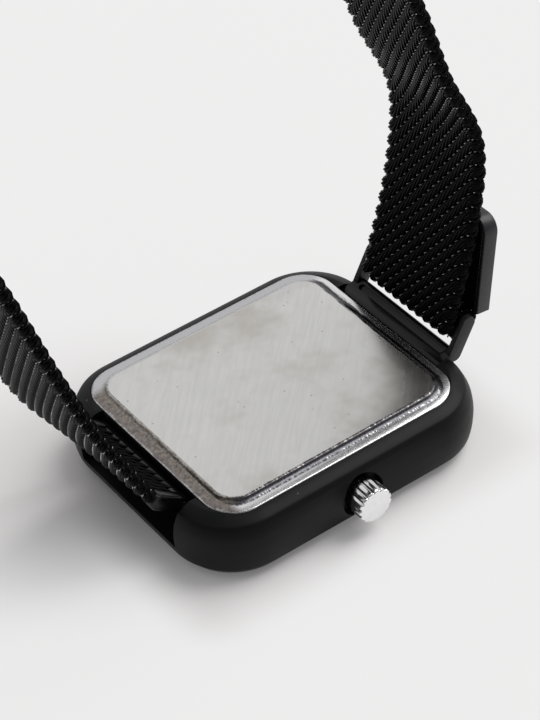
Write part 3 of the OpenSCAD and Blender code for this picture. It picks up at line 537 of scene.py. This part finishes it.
def build_case():
    """Case with its chamfer, crease and bulged sides, cut for the lens, cavity, notches and button."""
    high = CASE_HIGH
    profile = [(1.85, 0.15), (1.62, 0.17), (1.5, 0.28), (0.46, 1.58), (0.38, 1.72)]
    profile += smooth_profile([(0.34, 1.86), (0.12, 3.0), (0.0, 4.6), (0.08, 5.8), (0.33, 7.0),
                               (0.95, 8.35)], 4)
    profile += [(1.06, 8.47), (1.22, 8.58), (2.72, high - 0.03), (2.85, high)]
    rings = []
    for inset, z in profile:
        outline = rounded_outline(CASE_LEN - 2 * inset, CASE_WID - 2 * inset, CASE_CORNER - inset, 28)
        rings.append([(x, y, z) for x, y in outline])
    case = loft("case_body", rings, MAT["case"], 50)
    lens_len, lens_wid = box_mm("lens")[1][:2] * 2
    cavity_len = 2 * (NOTCH_WALL - NOTCH_STEP)
    cavity_wid = cavity_len - (PLATE_LEN - PLATE_WID)
    window_len, window_wid = lens_len - WINDOW_LEDGE, lens_wid - WINDOW_LEDGE
    inner = MAT["notch"]
    cutters = [
        slab("cut_lens", lens_len + FIT, lens_wid + FIT, LENS_CORNER, -1, LENS_SEAT, inner),
        slab("cut_window", window_len, window_wid, WINDOW_CORNER, 0, WINDOW_TOP, inner),
        slab("cut_cavity", cavity_len, cavity_wid, CAVITY_CORNER, CAVITY_FLOOR, high + 1, inner),
        slab("cut_seat", PLATE_LEN + FIT, PLATE_WID + FIT, SEAT_CORNER, high - SEAT_DEPTH, high + 1, inner)]
    for sign in (-1, 1):
        x0, x1 = sorted((sign * NOTCH_WALL, sign * (CASE_LEN / 2 + 5)))
        cutters.append(block("cut_notch", (x0, -LUG_GAP / 2, NOTCH_FLOOR), (x1, LUG_GAP / 2, high + 2),
                             inner))
    for bar in (LEFT_BAR, RIGHT_BAR):
        cutters.append(rod_y("cut_bar", bar, BAR_HOLE_R, -LUG_GAP / 2 - BAR_HOLE_DEPTH,
                             LUG_GAP / 2 + BAR_HOLE_DEPTH, inner, 20))
    cutters.append(rod_y("cut_recess", (0, BUTTON_Z), RECESS_R, -CASE_WID / 2 - 1,
                         -CASE_WID / 2 + RECESS_DEPTH, inner, 64))
    cutters.append(rod_y("cut_stem", (0, BUTTON_Z), STEM_HOLE_R, -CASE_WID / 2 - 1, -cavity_wid / 2 + 1,
                         inner, 32))
    cut(case, cutters)
    eased(case, CASE_EDGE, segments=2, angle=42, sharp=38)
    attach(case, "case")
    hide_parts("case_shell")


PLATE_CORNER, LEAST_CORNER = 4.85, 1.2
CORNER_SHRINK = 0.9   # how much a corner's radius shrinks for each millimetre in from the edge
BORDER_REACH = 2.2    # the border ends this far in from the edge


def build_back_plate():
    """Pressed steel back: a sloped border that rises in a cove to a raised middle with a soft edge, the
    border's reflections and shade painted in its material.
    """
    top = PLATE_TOP[2]
    low = PLATE_LOW[2]
    edge = CASE_HIGH
    profile = [(0.5, low), (0.5, edge - 0.4), (0.0, edge - 0.38), (0.0, edge - 0.04), (0.05, edge + 0.03),
               (0.14, edge + 0.07), (0.95, edge + 0.11), (1.2, edge + 0.15), (1.42, edge + 0.22),
               (1.6, edge + 0.33), (1.74, edge + 0.46), (1.86, edge + 0.55), (2.0, edge + 0.595),
               (2.2, edge + 0.61), (4.5, edge + 0.62), (7.0, top)]
    rings, insets = [], []
    for inset, z in profile:
        radius = max(LEAST_CORNER, PLATE_CORNER - CORNER_SHRINK * inset)
        outline = rounded_outline(PLATE_LEN - 2 * inset, PLATE_WID - 2 * inset, radius, 20)
        rings.append([(x, y, z) for x, y in outline])
        insets += [inset] * len(outline)
    plate = loft("back_cover", rings, MAT["steel"], 60)
    plate.data.attributes.new("inset", "FLOAT", "POINT").data.foreach_set("value", insets)
    # The border's faces take the material with painted reflections and painted shade.
    plate.data.materials.append(MAT["border"])
    for face in plate.data.polygons:
        if len(face.vertices) == 4 and max(insets[i] for i in face.vertices) <= BORDER_REACH:
            face.material_index = 1
    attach(plate, "case")
    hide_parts("back_plate")


BUTTON_SKIRT = 0.5    # wall round the button's pocket
FLUTES, FLUTE_STEPS = 15, 12
FLUTE_DEPTH, FLUTE_POWER = 0.24, 1.5


def build_button():
    """Chromed push button with fluted sides and a plain end."""
    low, high = box_mm("button_head")
    front, back = low[1], high[1]
    radius = (high[0] - low[0]) / 2
    pocket = 1 - BUTTON_SKIRT / radius
    floor = box_mm("button_stem")[0][1] - front
    profile = [(0.0, 0.02, 0), (0.5, 0.02, 0), (0.86, 0.0, 0.35), (0.93, 0.03, 0.7), (0.975, 0.10, 0.9),
               (1.0, 0.24, 1), (1.0, back - front - 0.3, 1), (0.97, back - front - 0.1, 0.6),
               (0.93, back - front, 0), (pocket, back - front, 0), (pocket, floor, 0), (0.0, floor, 0)]
    rings = []
    for share, depth, flute in profile:
        ring = []
        for k in range(FLUTES * FLUTE_STEPS):
            a = 2 * math.pi * k / (FLUTES * FLUTE_STEPS)
            dip = FLUTE_DEPTH * flute * max(0.0, math.cos(FLUTES * a)) ** FLUTE_POWER
            r = max(0.02, share * radius - dip)
            ring.append((r * math.cos(a), front + depth, BUTTON_Z + r * math.sin(a)))
        rings.append(ring)
    head = loft("button_cap", rings, MAT["chrome"], 45)
    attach(head, "button")
    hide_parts("button_head")
    coil = copy_of("button_spring", "button_coil", MAT["spring_steel"])
    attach(coil, "case")
    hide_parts("button_spring")
    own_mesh(coil)


# Strap route in the XZ plane, through the hinges of the frame

FOLD_R = 1.7          # from the far bar of the ring to the middle of the strap round it
FOLD_START, FOLD_END = 148.0, 320.0
CLASP_LEAN = -7.0
LEAD_IN = 8.5         # straight run before the first hinge, through the clamp and past the bar
TAIL_PATH = [(0.0, 0.0), (0.62, 0.62), (1.15, 1.3), (1.42, 2.1), (1.5, 3.0), (1.5, 5.0), (1.5, 8.0)]
FOLD_HANG = 0.75      # the soft fold hangs below the ring's far bar
TAIL_THIN = 0.66      # the mesh is pressed flat inside the clasp
THIN_OVER = 1.2       # it thins over this much past the fold
HINGE_STEPS, LEAD_STEPS, TURN_STEPS, CURVE_STEPS = 24, 12, 6, 4


def polar(radius, degrees):
    """Point at a radius and an angle in the XZ plane."""
    return radius * np.array([math.cos(math.radians(degrees)), math.sin(math.radians(degrees))])


def path_length(points):
    """Length of a line through points."""
    return float(np.sum(np.linalg.norm(np.diff(np.array(points), axis=0), axis=1)))


def build_route():
    """Centre points of the strap from clamp to tail, and the runs to the end of its sections and fold."""
    hinges = [place("strap_flex_%02d" % i) for i in range(1, LINKS + 1)]
    hinges.append(FAR_BAR + polar(FOLD_R, FOLD_START))
    fine = smooth_profile(hinges, HINGE_STEPS)
    run = path_length(fine)
    back = (LEFT_BAR - hinges[0]) / np.linalg.norm(LEFT_BAR - hinges[0])
    lead = [hinges[0] + back * LEAD_IN * (1 - i / LEAD_STEPS) for i in range(LEAD_STEPS)]
    down = place("ring_swing") - FAR_BAR
    down = down / np.linalg.norm(down)
    turn = [FAR_BAR + polar(FOLD_R, FOLD_START + (FOLD_END - FOLD_START) * i / TURN_STEPS)
            + down * FOLD_HANG * math.sin(math.pi * i / TURN_STEPS) for i in range(TURN_STEPS + 1)]
    fold = smooth_profile(turn, CURVE_STEPS)[1:]
    lean = math.radians(CLASP_LEAN)
    rise = np.array([-math.sin(lean), math.cos(lean)])
    out = np.array([math.cos(lean), math.sin(lean)])
    tail = [TAIL_AXIS + out * x + rise * y for x, y in smooth_profile(TAIL_PATH, CURVE_STEPS)[1:]]
    return np.array(lead + fine + fold + tail), run, run + path_length([fine[-1]] + fold)


ROUTE, STRAP_RUN, FOLD_RUN = build_route()
STEPS = np.concatenate([[0.0], np.cumsum(np.linalg.norm(np.diff(ROUTE, axis=0), axis=1))]) - LEAD_IN
LINK_LEN = STRAP_RUN / LINKS
TWIST = 7.5           # degrees by which the left side of the soft strap is turned about its own run
TWIST_UP, TWIST_DOWN = (-5.0, 12.0), (60.0, 130.0)
HEADING_STEP = 0.5    # the strap's direction is taken over this much each way


def along(s):
    """X and Z of the strap's middle at a run along it."""
    s = np.asarray(s, float)
    return np.stack([np.interp(s, STEPS, ROUTE[:, 0]), np.interp(s, STEPS, ROUTE[:, 1])], -1)


def heading(s):
    """Direction of the strap at a run along it."""
    s = np.asarray(s, float)
    v = along(s + HEADING_STEP) - along(s - HEADING_STEP)
    return v / np.linalg.norm(v, axis=-1, keepdims=True)


def smooth_share(s, ends):
    """Share from 0 to 1 that grows smoothly between two runs."""
    t = np.clip((np.asarray(s, float) - ends[0]) / (ends[1] - ends[0]), 0, 1)
    return t * t * (3 - 2 * t)


def on_strap(s, y, n):
    """Points at a run s along the strap, a place y across it and a height n out of its mid-plane."""
    p, h = along(s), heading(s)
    n = n * np.interp(s, [FOLD_RUN, FOLD_RUN + THIN_OVER], [1.0, TAIL_THIN])
    turn = math.radians(TWIST) * smooth_share(s, TWIST_UP) * (1 - smooth_share(s, TWIST_DOWN))
    y, n = y * np.cos(turn) - n * np.sin(turn), y * np.sin(turn) + n * np.cos(turn)
    return np.stack([p[..., 0] - n * h[..., 1], y, p[..., 1] + n * h[..., 0]], -1)


# Woven mesh: ropes run slantwise over one face, turn square round the edge and run back over the other
# face. Each rope shows as long wires laid at a small angle along its round back, and a thin bare wire
# glints in the valley between two ropes

ROPE_STEP = 2.14      # spacing of ropes along the strap
ROPE_SLOPE = 0.7365   # travel across the strap per travel along it, on the flat
ROPE_R = 0.48         # from a rope's middle to the middle of its wires
WIRE_STEP = 1.36      # spacing of wires along a rope
WIRE_R = 0.17
WIRE_ARC = 80.0       # a wire runs over the rope's back from minus to plus this angle
WIRE_REACH = 2.6      # travel along the rope over that angle
WIRE_RINGS = 11
ROPE_MID = STRAP_THICK / 2 - WIRE_R - ROPE_R
EDGE_MID = STRAP_WID / 2 - STRAP_THICK / 2
EDGE_TURN = 0.8       # radius at which lengths are kept where the ropes turn round an edge
EDGE_REACH = EDGE_MID + math.pi / 2 * EDGE_TURN
EDGE_SWELL = 0.5      # how much wider a rope is where it turns round the edge
FLAT_REACH = 7.0      # from the middle to where a rope begins to turn square
TURN_REACH = 2.0      # across this much more it has turned
VALLEY_R = 0.10       # the bare wire shows as a short bright arch between two ropes
VALLEY_HIGH = 0.5
VALLEY_WAVE = 0.16
VALLEY_PART = (0.32, 0.68)
BULB_R = 0.52         # each rope is full where it turns round the edge
BULB_SIDE = 0.2
BULB_FROM = 7.6
BULB_PAST = 0.2
BULB_RINGS = 9
SIDES = 6
WIRE_TAPER = 0.55     # a wire is this much of its radius at its two ends
END_ROOM = 0.9        # no wire's middle lies closer than this to the end of a rope
ROPE_SPARE, ROPE_POINTS = 1.0, 401
NUDGE = 0.05          # step each way along a rope over which its direction is taken
EDGE_LAST = 115.0     # degrees by which a rope can turn round the edge
CORE_WIDER, CORE_HALF, CORE_STEP = 0.35, 0.3, 0.8


def rope_run(across):
    """Run along the strap of a rope that crosses the middle at nought."""
    past = np.clip(np.abs(across) - FLAT_REACH, 0, TURN_REACH)
    reach = np.minimum(np.abs(across), FLAT_REACH) + past - past ** 2 / (2 * TURN_REACH)
    return np.sign(across) * reach / ROPE_SLOPE


ROPE_ACROSS = np.linspace(-EDGE_REACH - ROPE_SPARE, EDGE_REACH + ROPE_SPARE, ROPE_POINTS)
ROPE_RUN = rope_run(ROPE_ACROSS)
ROPE_LEN = np.concatenate([[0.0], np.cumsum(np.hypot(np.diff(ROPE_ACROSS), np.diff(ROPE_RUN)))])
FACE_SHIFT = 2 * float(rope_run(np.array(EDGE_REACH)))


def round_edge(across, height):
    """Bends the face's outer strips round the strap's two long edges."""
    turn = np.maximum(np.abs(across) - EDGE_MID, 0) / EDGE_TURN
    turn = np.minimum(turn, math.radians(EDGE_LAST))
    y = np.sign(across) * (np.minimum(np.abs(across), EDGE_MID) + height * np.sin(turn))
    return y, height * np.cos(turn)


def on_rope(length, side):
    """Place along and across the strap at a length along a rope and a distance to its side."""
    across = np.interp(length, ROPE_LEN, ROPE_ACROSS)
    run = np.interp(length, ROPE_LEN, ROPE_RUN)
    ahead, behind = length + NUDGE, length - NUDGE
    d_run = np.interp(ahead, ROPE_LEN, ROPE_RUN) - np.interp(behind, ROPE_LEN, ROPE_RUN)
    d_across = np.interp(ahead, ROPE_LEN, ROPE_ACROSS) - np.interp(behind, ROPE_LEN, ROPE_ACROSS)
    size = np.maximum(np.hypot(d_run, d_across), 1e-9)
    past = np.clip((np.abs(across) - FLAT_REACH) / TURN_REACH, 0, 1)
    side = side * (1 + EDGE_SWELL * past)
    return run + side * d_across / size, across - side * d_run / size


def rope_starts(face, s_from, s_to):
    """Runs at which the ropes of one face cross the middle, wide enough to fill a stretch."""
    offset = 0.0 if face < 0 else FACE_SHIFT
    reach = float(rope_run(np.array(EDGE_REACH))) + 2
    first = math.ceil((s_from - reach - offset) / ROPE_STEP)
    last = math.floor((s_to + reach - offset) / ROPE_STEP)
    return [offset + k * ROPE_STEP for k in range(first, last + 1)]


def wire_lines(face, s_from, s_to):
    """Centre lines of one face's wires whose middles lie in a stretch, as arrays of s, y and n."""
    phi = np.radians(np.linspace(-WIRE_ARC, WIRE_ARC, WIRE_RINGS))
    reach = phi / phi[-1] * WIRE_REACH
    wires = int(ROPE_LEN[-1] / WIRE_STEP)
    for start in rope_starts(face, s_from, s_to):
        for k in range(wires + 1):
            middle = (k + 0.5) * WIRE_STEP
            if middle < END_ROOM or middle > ROPE_LEN[-1] - END_ROOM:
                continue
            s_mid = start + float(np.interp(middle, ROPE_LEN, ROPE_RUN))
            if not s_from <= s_mid < s_to:
                continue
            length = np.clip(middle + reach, 0, ROPE_LEN[-1])
            run, across = on_rope(length, ROPE_R * np.sin(phi))
            y, n = round_edge(across, ROPE_MID + ROPE_R * np.cos(phi))
            yield start + run, -face * y, face * n


def valley_lines(face, s_from, s_to):
    """Centre lines of the bare wires between ropes, in short waves, one for each wire of the rope."""
    waves = int(ROPE_LEN[-1] / WIRE_STEP)
    for start in rope_starts(face, s_from, s_to):
        for k in range(1, waves):
            length = (k + np.linspace(*VALLEY_PART, WIRE_RINGS)) * WIRE_STEP
            s_mid = start + ROPE_STEP / 2 + float(np.interp(length[WIRE_RINGS // 2], ROPE_LEN, ROPE_RUN))
            if not s_from <= s_mid < s_to:
                continue
            run, across = on_rope(length, np.zeros(WIRE_RINGS))
            wave = VALLEY_HIGH - VALLEY_WAVE * np.cos(np.linspace(0, 2 * math.pi, WIRE_RINGS))
            y, n = round_edge(across, wave)
            yield start + ROPE_STEP / 2 + run, -face * y, face * n


def bulb_lines(face, s_from, s_to):
    """Centre lines of the full rope where it turns round each edge."""
    for start in rope_starts(face, s_from, s_to):
        for end in (-1, 1):
            across = np.linspace(BULB_FROM, EDGE_REACH + BULB_PAST, BULB_RINGS) * end
            length = np.interp(across, ROPE_ACROSS, ROPE_LEN)
            s_mid = start + float(np.interp(length[BULB_RINGS // 2], ROPE_LEN, ROPE_RUN))
            if not s_from <= s_mid < s_to:
                continue
            for side in (-BULB_SIDE, BULB_SIDE):
                run, reach = on_rope(length, np.full(BULB_RINGS, side))
                y, n = round_edge(reach, np.full(BULB_RINGS, ROPE_MID))
                yield start + run, -face * y, face * n


def tubes(lines, radius):
    """Vertices and faces of round wires along the given lines."""
    ss, ys, ns = (np.array([line[part] for line in lines]) for part in range(3))
    centre = on_strap(ss, ys, ns)
    count, rings = centre.shape[:2]
    tangent = np.gradient(centre, axis=1)
    tangent /= np.linalg.norm(tangent, axis=2, keepdims=True)
    head = heading(ss)
    out = np.stack([-head[..., 1], np.zeros_like(ys), head[..., 0]], -1)
    side = np.cross(tangent, out)
    side /= np.maximum(np.linalg.norm(side, axis=2, keepdims=True), 1e-9)
    up = np.cross(side, tangent)
    taper = np.ones(rings)
    taper[0] = taper[-1] = WIRE_TAPER
    verts = []
    for k in range(SIDES):
        a = 2 * math.pi * k / SIDES
        verts.append(centre + radius * taper[None, :, None] * (math.cos(a) * side + math.sin(a) * up))
    verts = np.stack(verts, 2).reshape(-1, 3)
    base = (np.arange(count) * rings * SIDES)[:, None, None]
    i = np.arange(rings - 1)[None, :, None]
    k = np.arange(SIDES)[None, None, :]
    k2 = (k + 1) % SIDES
    quads = np.stack(np.broadcast_arrays(base + i * SIDES + k, base + i * SIDES + k2,
                                         base + (i + 1) * SIDES + k2, base + (i + 1) * SIDES + k), -1)
    caps = []
    for start, order in ((0, range(SIDES)[::-1]), ((rings - 1) * SIDES, range(SIDES))):
        caps += [tuple(int(b) + start + r for r in order) for b in base[:, 0, 0]]
    faces = [tuple(q) for q in quads.reshape(-1, 4).tolist()] + caps
    return verts, faces


def core_band(s_from, s_to):
    """Dark sheet between the two faces, which closes the mesh."""
    n = max(2, int((s_to - s_from) / CORE_STEP))
    s = np.linspace(s_from, s_to, n + 1)
    half = EDGE_MID + CORE_WIDER
    corners = ((-half, -CORE_HALF), (half, -CORE_HALF), (half, CORE_HALF), (-half, CORE_HALF))
    rings = [on_strap(s, np.full_like(s, y), np.full_like(s, h)) for y, h in corners]
    verts = np.stack(rings, 1).reshape(-1, 3)
    faces = []
    for i in range(n):
        for k in range(4):
            faces.append((i * 4 + k, i * 4 + (k + 1) % 4, (i + 1) * 4 + (k + 1) % 4, (i + 1) * 4 + k))
    faces.append((3, 2, 1, 0))
    faces.append((n * 4, n * 4 + 1, n * 4 + 2, n * 4 + 3))
    return verts, faces


def mesh_piece(name, s_from, s_to):
    """One stretch of the woven strap: wires, core, bare valley wires and full edges."""
    def both_faces(kind, radius):
        """Wires of one kind on the strap's two faces."""
        return tubes([line for face in (1, -1) for line in kind(face, s_from, s_to)], radius)

    looks = ("mesh", "core", "glint")
    parts = [("mesh", both_faces(wire_lines, WIRE_R)), ("core", core_band(s_from, s_to)),
             ("glint", both_faces(valley_lines, VALLEY_R)), ("mesh", both_faces(bulb_lines, BULB_R))]
    verts, faces, index = [], [], []
    for look, (part_verts, part_faces) in parts:
        base = sum(len(v) for v in verts)
        faces += [tuple(i + base for i in f) for f in part_faces]
        index += [looks.index(look)] * len(part_faces)
        verts.append(part_verts)
    mesh = bpy.data.meshes.new(name)
    mesh.from_pydata((np.concatenate(verts) * MM).tolist(), [], faces)
    for look in looks:
        mesh.materials.append(MAT[look])
    mesh.polygons.foreach_set("material_index", index)
    mesh.polygons.foreach_set("use_smooth", np.ones(len(faces), bool))
    obj = placed(name, mesh)
    return obj


CLAMP_REACH = 4.9     # how far the mesh runs into the clamp
TAIL_BACK = 1.6       # the tail's piece begins this far before the end of the fold
TAIL_PAST = 3.2       # and ends this far past it


def build_strap():
    """A piece for each hinge, from the middle of one section to the middle of the next."""
    bodies = ["strap_end"] + ["strap_%02d" % i for i in range(1, LINKS + 1)]
    for i in range(LINKS):
        s_from = -CLAMP_REACH if i == 0 else (i - 0.5) * LINK_LEN
        s_to = (i + 0.5) * LINK_LEN
        piece = mesh_piece("mesh_%02d" % (i + 1), s_from, s_to)
        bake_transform(piece)
        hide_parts("strap_link_%02d" % (i + 1))
    last = mesh_piece("mesh_%02d" % (LINKS + 1), (LINKS - 0.5) * LINK_LEN, STRAP_RUN)
    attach(last, bodies[LINKS])
    fold = mesh_piece("mesh_fold", STRAP_RUN, FOLD_RUN - TAIL_BACK)
    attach(fold, "fold")
    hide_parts("strap_fold")
    tail = mesh_piece("mesh_tail", FOLD_RUN - TAIL_BACK, FOLD_RUN + TAIL_PAST)
    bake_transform(tail)
    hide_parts("strap_tail")


# Hardware

BEAN_STEPS = 32
CAP_REACH = -0.9      # the caps reach to this run along the strap
TUBE_R, TUBE_TIP_R, TUBE_EASE, TUBE_SHORT = 1.06, 1.0, 0.2, 0.05
TUBE_LEAN = 0.06      # share of the way to the caps' end that the tube's section takes up
CAP_R, CAP_TIP_R, CAP_EASE, CAP_IN, CAP_OUT = 1.15, 1.12, 0.35, 1.5, 0.1
RING_EDGE, SHELL_EDGE, LID_EDGE = 0.14, 0.16, 0.06
ARM_FROM = 0.3        # the ring looks cast from this far outside the strap's edge


def bean(name, a, b, radius_a, radius_b, y0, y1, ease, material):
    """Bar along Y whose section is the hull of two circles in XZ, with rounded ends."""
    a, b = np.array(a), np.array(b)
    d = (b - a) / np.linalg.norm(b - a)
    base = math.atan2(d[1], d[0])
    rings = []
    for t in (-1.0, -0.75, -0.5, -0.25, 0.25, 0.5, 0.75, 1.0):
        lean = abs(t) * math.pi / 2
        y = (y0 + y1) / 2 + math.copysign((y1 - y0) / 2 - ease * (1 - math.sin(lean)), t)
        shrink = ease * (1 - math.cos(lean))
        ring = []
        for middle, radius, start in ((a, radius_a, math.pi / 2), (b, radius_b, -math.pi / 2)):
            for i in range(BEAN_STEPS + 1):
                angle = base + start + math.pi * i / BEAN_STEPS
                ring.append(middle + (radius - shrink) * np.array([math.cos(angle), math.sin(angle)]))
        rings.append([(p[0], y, p[1]) for p in ring])
    return loft(name, rings, material, 50)


def build_clamp():
    """Tube round the spring bar, and the two smooth end caps that grip the mesh."""
    toward = along(CAP_REACH)
    half = STRAP_WID / 2
    tube = bean("clamp_tube", LEFT_BAR, LEFT_BAR + TUBE_LEAN * (toward - LEFT_BAR), TUBE_R, TUBE_TIP_R,
                -half + TUBE_SHORT, half - TUBE_SHORT, TUBE_EASE, MAT["trim"])
    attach(tube, "strap_end")
    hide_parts("strap_end_clamp")
    for side, name in ((-1, "clamp_cap_near"), (1, "clamp_cap_far")):
        y0, y1 = sorted((side * (half - CAP_IN), side * (half + CAP_OUT)))
        cap = bean(name, LEFT_BAR, toward, CAP_R, CAP_TIP_R, y0, y1, CAP_EASE, MAT["trim"])
        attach(cap, "strap_end")


def build_ring():
    """Ring that the strap folds round, glossy along its bars and rough cast at its two arms."""
    ring = copy_of("ring_frame", "ring_body", MAT["trim"])
    eased(ring, RING_EDGE)
    ring.data.materials.append(MAT["cast"])
    for face in ring.data.polygons:
        if abs(face.center.y) / MM > STRAP_WID / 2 + ARM_FROM:
            face.material_index = 1
    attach(ring, "ring")
    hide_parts("ring_frame")


def build_clasp():
    """Clasp plate and its inner cover, with eased edges."""
    for node, name, look, width in (("clasp_housing", "clasp_shell", "satin", SHELL_EDGE),
                                    ("clasp_cover", "clasp_lid", "trim", LID_EDGE)):
        piece = copy_of(node, name, MAT[look])
        eased(piece, width)
        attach(piece, "clasp")
        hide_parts(node)


# Surroundings

def area_light(name, place_mm, target_mm, size_mm, power, colour):
    """Rectangular light that faces a target."""
    light = bpy.data.lights.new(name, "AREA")
    light.shape = "RECTANGLE"
    light.size, light.size_y = size_mm[0] * MM, size_mm[1] * MM
    light.energy = power
    light.color = colour
    obj = placed(name, light)
    obj.location = Vector(place_mm) * MM
    direction = Vector(target_mm) * MM - obj.location
    obj.rotation_euler = direction.to_track_quat("-Z", "Y").to_euler()


BRIGHT_SIDE = (0.45, 0.45, 0.77)      # the room is brightest in this direction
ROOM_ENDS = (-0.2, 0.9)
BACKGROUND = 0.863                    # linear tone of the plain background
FLOOR_TONE, FLOOR_HALF, FLOOR_Z = (0.86, 0.838, 0.838), 3000, -0.03
SHADOW_CENTRE = (-0.022, 0.014, 0.0)  # the floor keeps its shadow round here, under the left strap
SHADOW_NEAR, SHADOW_FAR = 0.006, 0.034
LIFT_NEAR, LIFT_FAR = 0.05, 0.86
CONTACT_REACH, CONTACT_LIFT = 0.008, 0.15
ROOM_DARK, ROOM_LIGHT = 0.20, 0.70
KEY_POWER = 39.0
KEY_PLACE, KEY_TARGET, KEY_SIZE = (1500, -120, 2000), (0, 0, 20), (1700, 1700)
KEY_COLOUR = (1, 0.995, 0.985)
CAMERA_PLACE = (-136.202, -207.199, 230.637)
CAMERA_RIGHT = (0.8039, -0.59182, -0.0592)
CAMERA_UP = (0.42659, 0.50437, 0.75076)
CAMERA_BACK = (-0.41445, -0.62878, 0.65792)
SENSOR, LENS, CLIP_NEAR, CLIP_FAR = 36, 130, 0.01, 20


def lift_background(material):
    """Evens out the floor as the camera, metal and glass see it, less towards the shadow by the watch."""
    tree = material.node_tree
    link = tree.links.new
    spot = node_of(tree, "ShaderNodeTexCoord").outputs["Object"]
    away = node_of(tree, "ShaderNodeVectorMath", operation="DISTANCE")
    away.inputs[1].default_value = SHADOW_CENTRE
    link(spot, away.inputs[0])
    lift = map_range(tree, away.outputs["Value"], (SHADOW_NEAR, SHADOW_FAR), (LIFT_NEAR, LIFT_FAR))
    for step, amount in (("ABSOLUTE", None), ("SUBTRACT", (CASE_LEN / 2 * MM, CASE_WID / 2 * MM, 0)),
                         ("MAXIMUM", (0, 0, 0)), ("LENGTH", None)):
        part = node_of(tree, "ShaderNodeVectorMath", operation=step)
        link(spot, part.inputs[0])
        if amount:
            part.inputs[1].default_value = amount
        spot = part.outputs["Value" if step == "LENGTH" else "Vector"]
    contact = map_range(tree, spot, (0.0, CONTACT_REACH), (CONTACT_LIFT, 1.0))
    ray = node_of(tree, "ShaderNodeLightPath")
    seen = ray.outputs["Is Camera Ray"]
    for other in ("Is Glossy Ray", "Is Transmission Ray"):
        seen = maths(tree, "MAXIMUM", seen, ray.outputs[other])
    share = maths(tree, "MULTIPLY", seen, maths(tree, "MULTIPLY", lift, contact))
    plain = node_of(tree, "ShaderNodeEmission")
    plain.inputs["Color"].default_value = (BACKGROUND, BACKGROUND, BACKGROUND, 1)
    mix = tree.nodes.new("ShaderNodeMixShader")
    link(share, mix.inputs["Fac"])
    link(tree.nodes["Principled BSDF"].outputs["BSDF"], mix.inputs[1])
    link(plain.outputs["Emission"], mix.inputs[2])
    link(mix.outputs[0], tree.nodes["Material Output"].inputs["Surface"])


def build_stage():
    """Paper floor, a room that is brighter to one side, and one large soft light."""
    floor_mat = grained("floor_paper", FLOOR_TONE, 0.9, spread=0.004, grain=60.0, bump=0.02, spec=0.0)
    lift_background(floor_mat)
    corners = [(x * FLOOR_HALF, y * FLOOR_HALF, FLOOR_Z) for x, y in ((-1, -1), (1, -1), (1, 1), (-1, 1))]
    floor = add_mesh("floor", corners, [(0, 1, 2, 3)], floor_mat)
    world = bpy.data.worlds.new("studio")
    world.use_nodes = True
    tree = world.node_tree
    background = tree.nodes["Background"]
    background.inputs["Color"].default_value = (1.0, 1.0, 1.0, 1)
    toward = node_of(tree, "ShaderNodeVectorMath", operation="DOT_PRODUCT")
    toward.inputs[1].default_value = BRIGHT_SIDE
    tree.links.new(node_of(tree, "ShaderNodeTexCoord").outputs["Generated"], toward.inputs[0])
    strength = map_range(tree, toward.outputs["Value"], ROOM_ENDS, (ROOM_DARK, ROOM_LIGHT))
    tree.links.new(strength, background.inputs["Strength"])
    bpy.context.scene.world = world
    area_light("key", KEY_PLACE, KEY_TARGET, KEY_SIZE, KEY_POWER, KEY_COLOUR)


def build_camera():
    """The photograph's viewpoint, solved from the case's corners."""
    camera = bpy.data.cameras.new("camera")
    camera.sensor_width = SENSOR
    camera.lens = LENS
    camera.clip_start = CLIP_NEAR
    camera.clip_end = CLIP_FAR
    obj = placed("camera", camera)
    turn = Matrix((CAMERA_RIGHT, CAMERA_UP, CAMERA_BACK)).transposed().to_4x4()
    obj.matrix_world = Matrix.Translation(Vector(CAMERA_PLACE) * MM) @ turn
    bpy.context.scene.camera = obj


build_camera()
build_stage()
build_case()
build_back_plate()
build_button()
build_strap()
build_clamp()
build_ring()
build_clasp()
bpy.context.scene.view_settings.view_transform = "Standard"
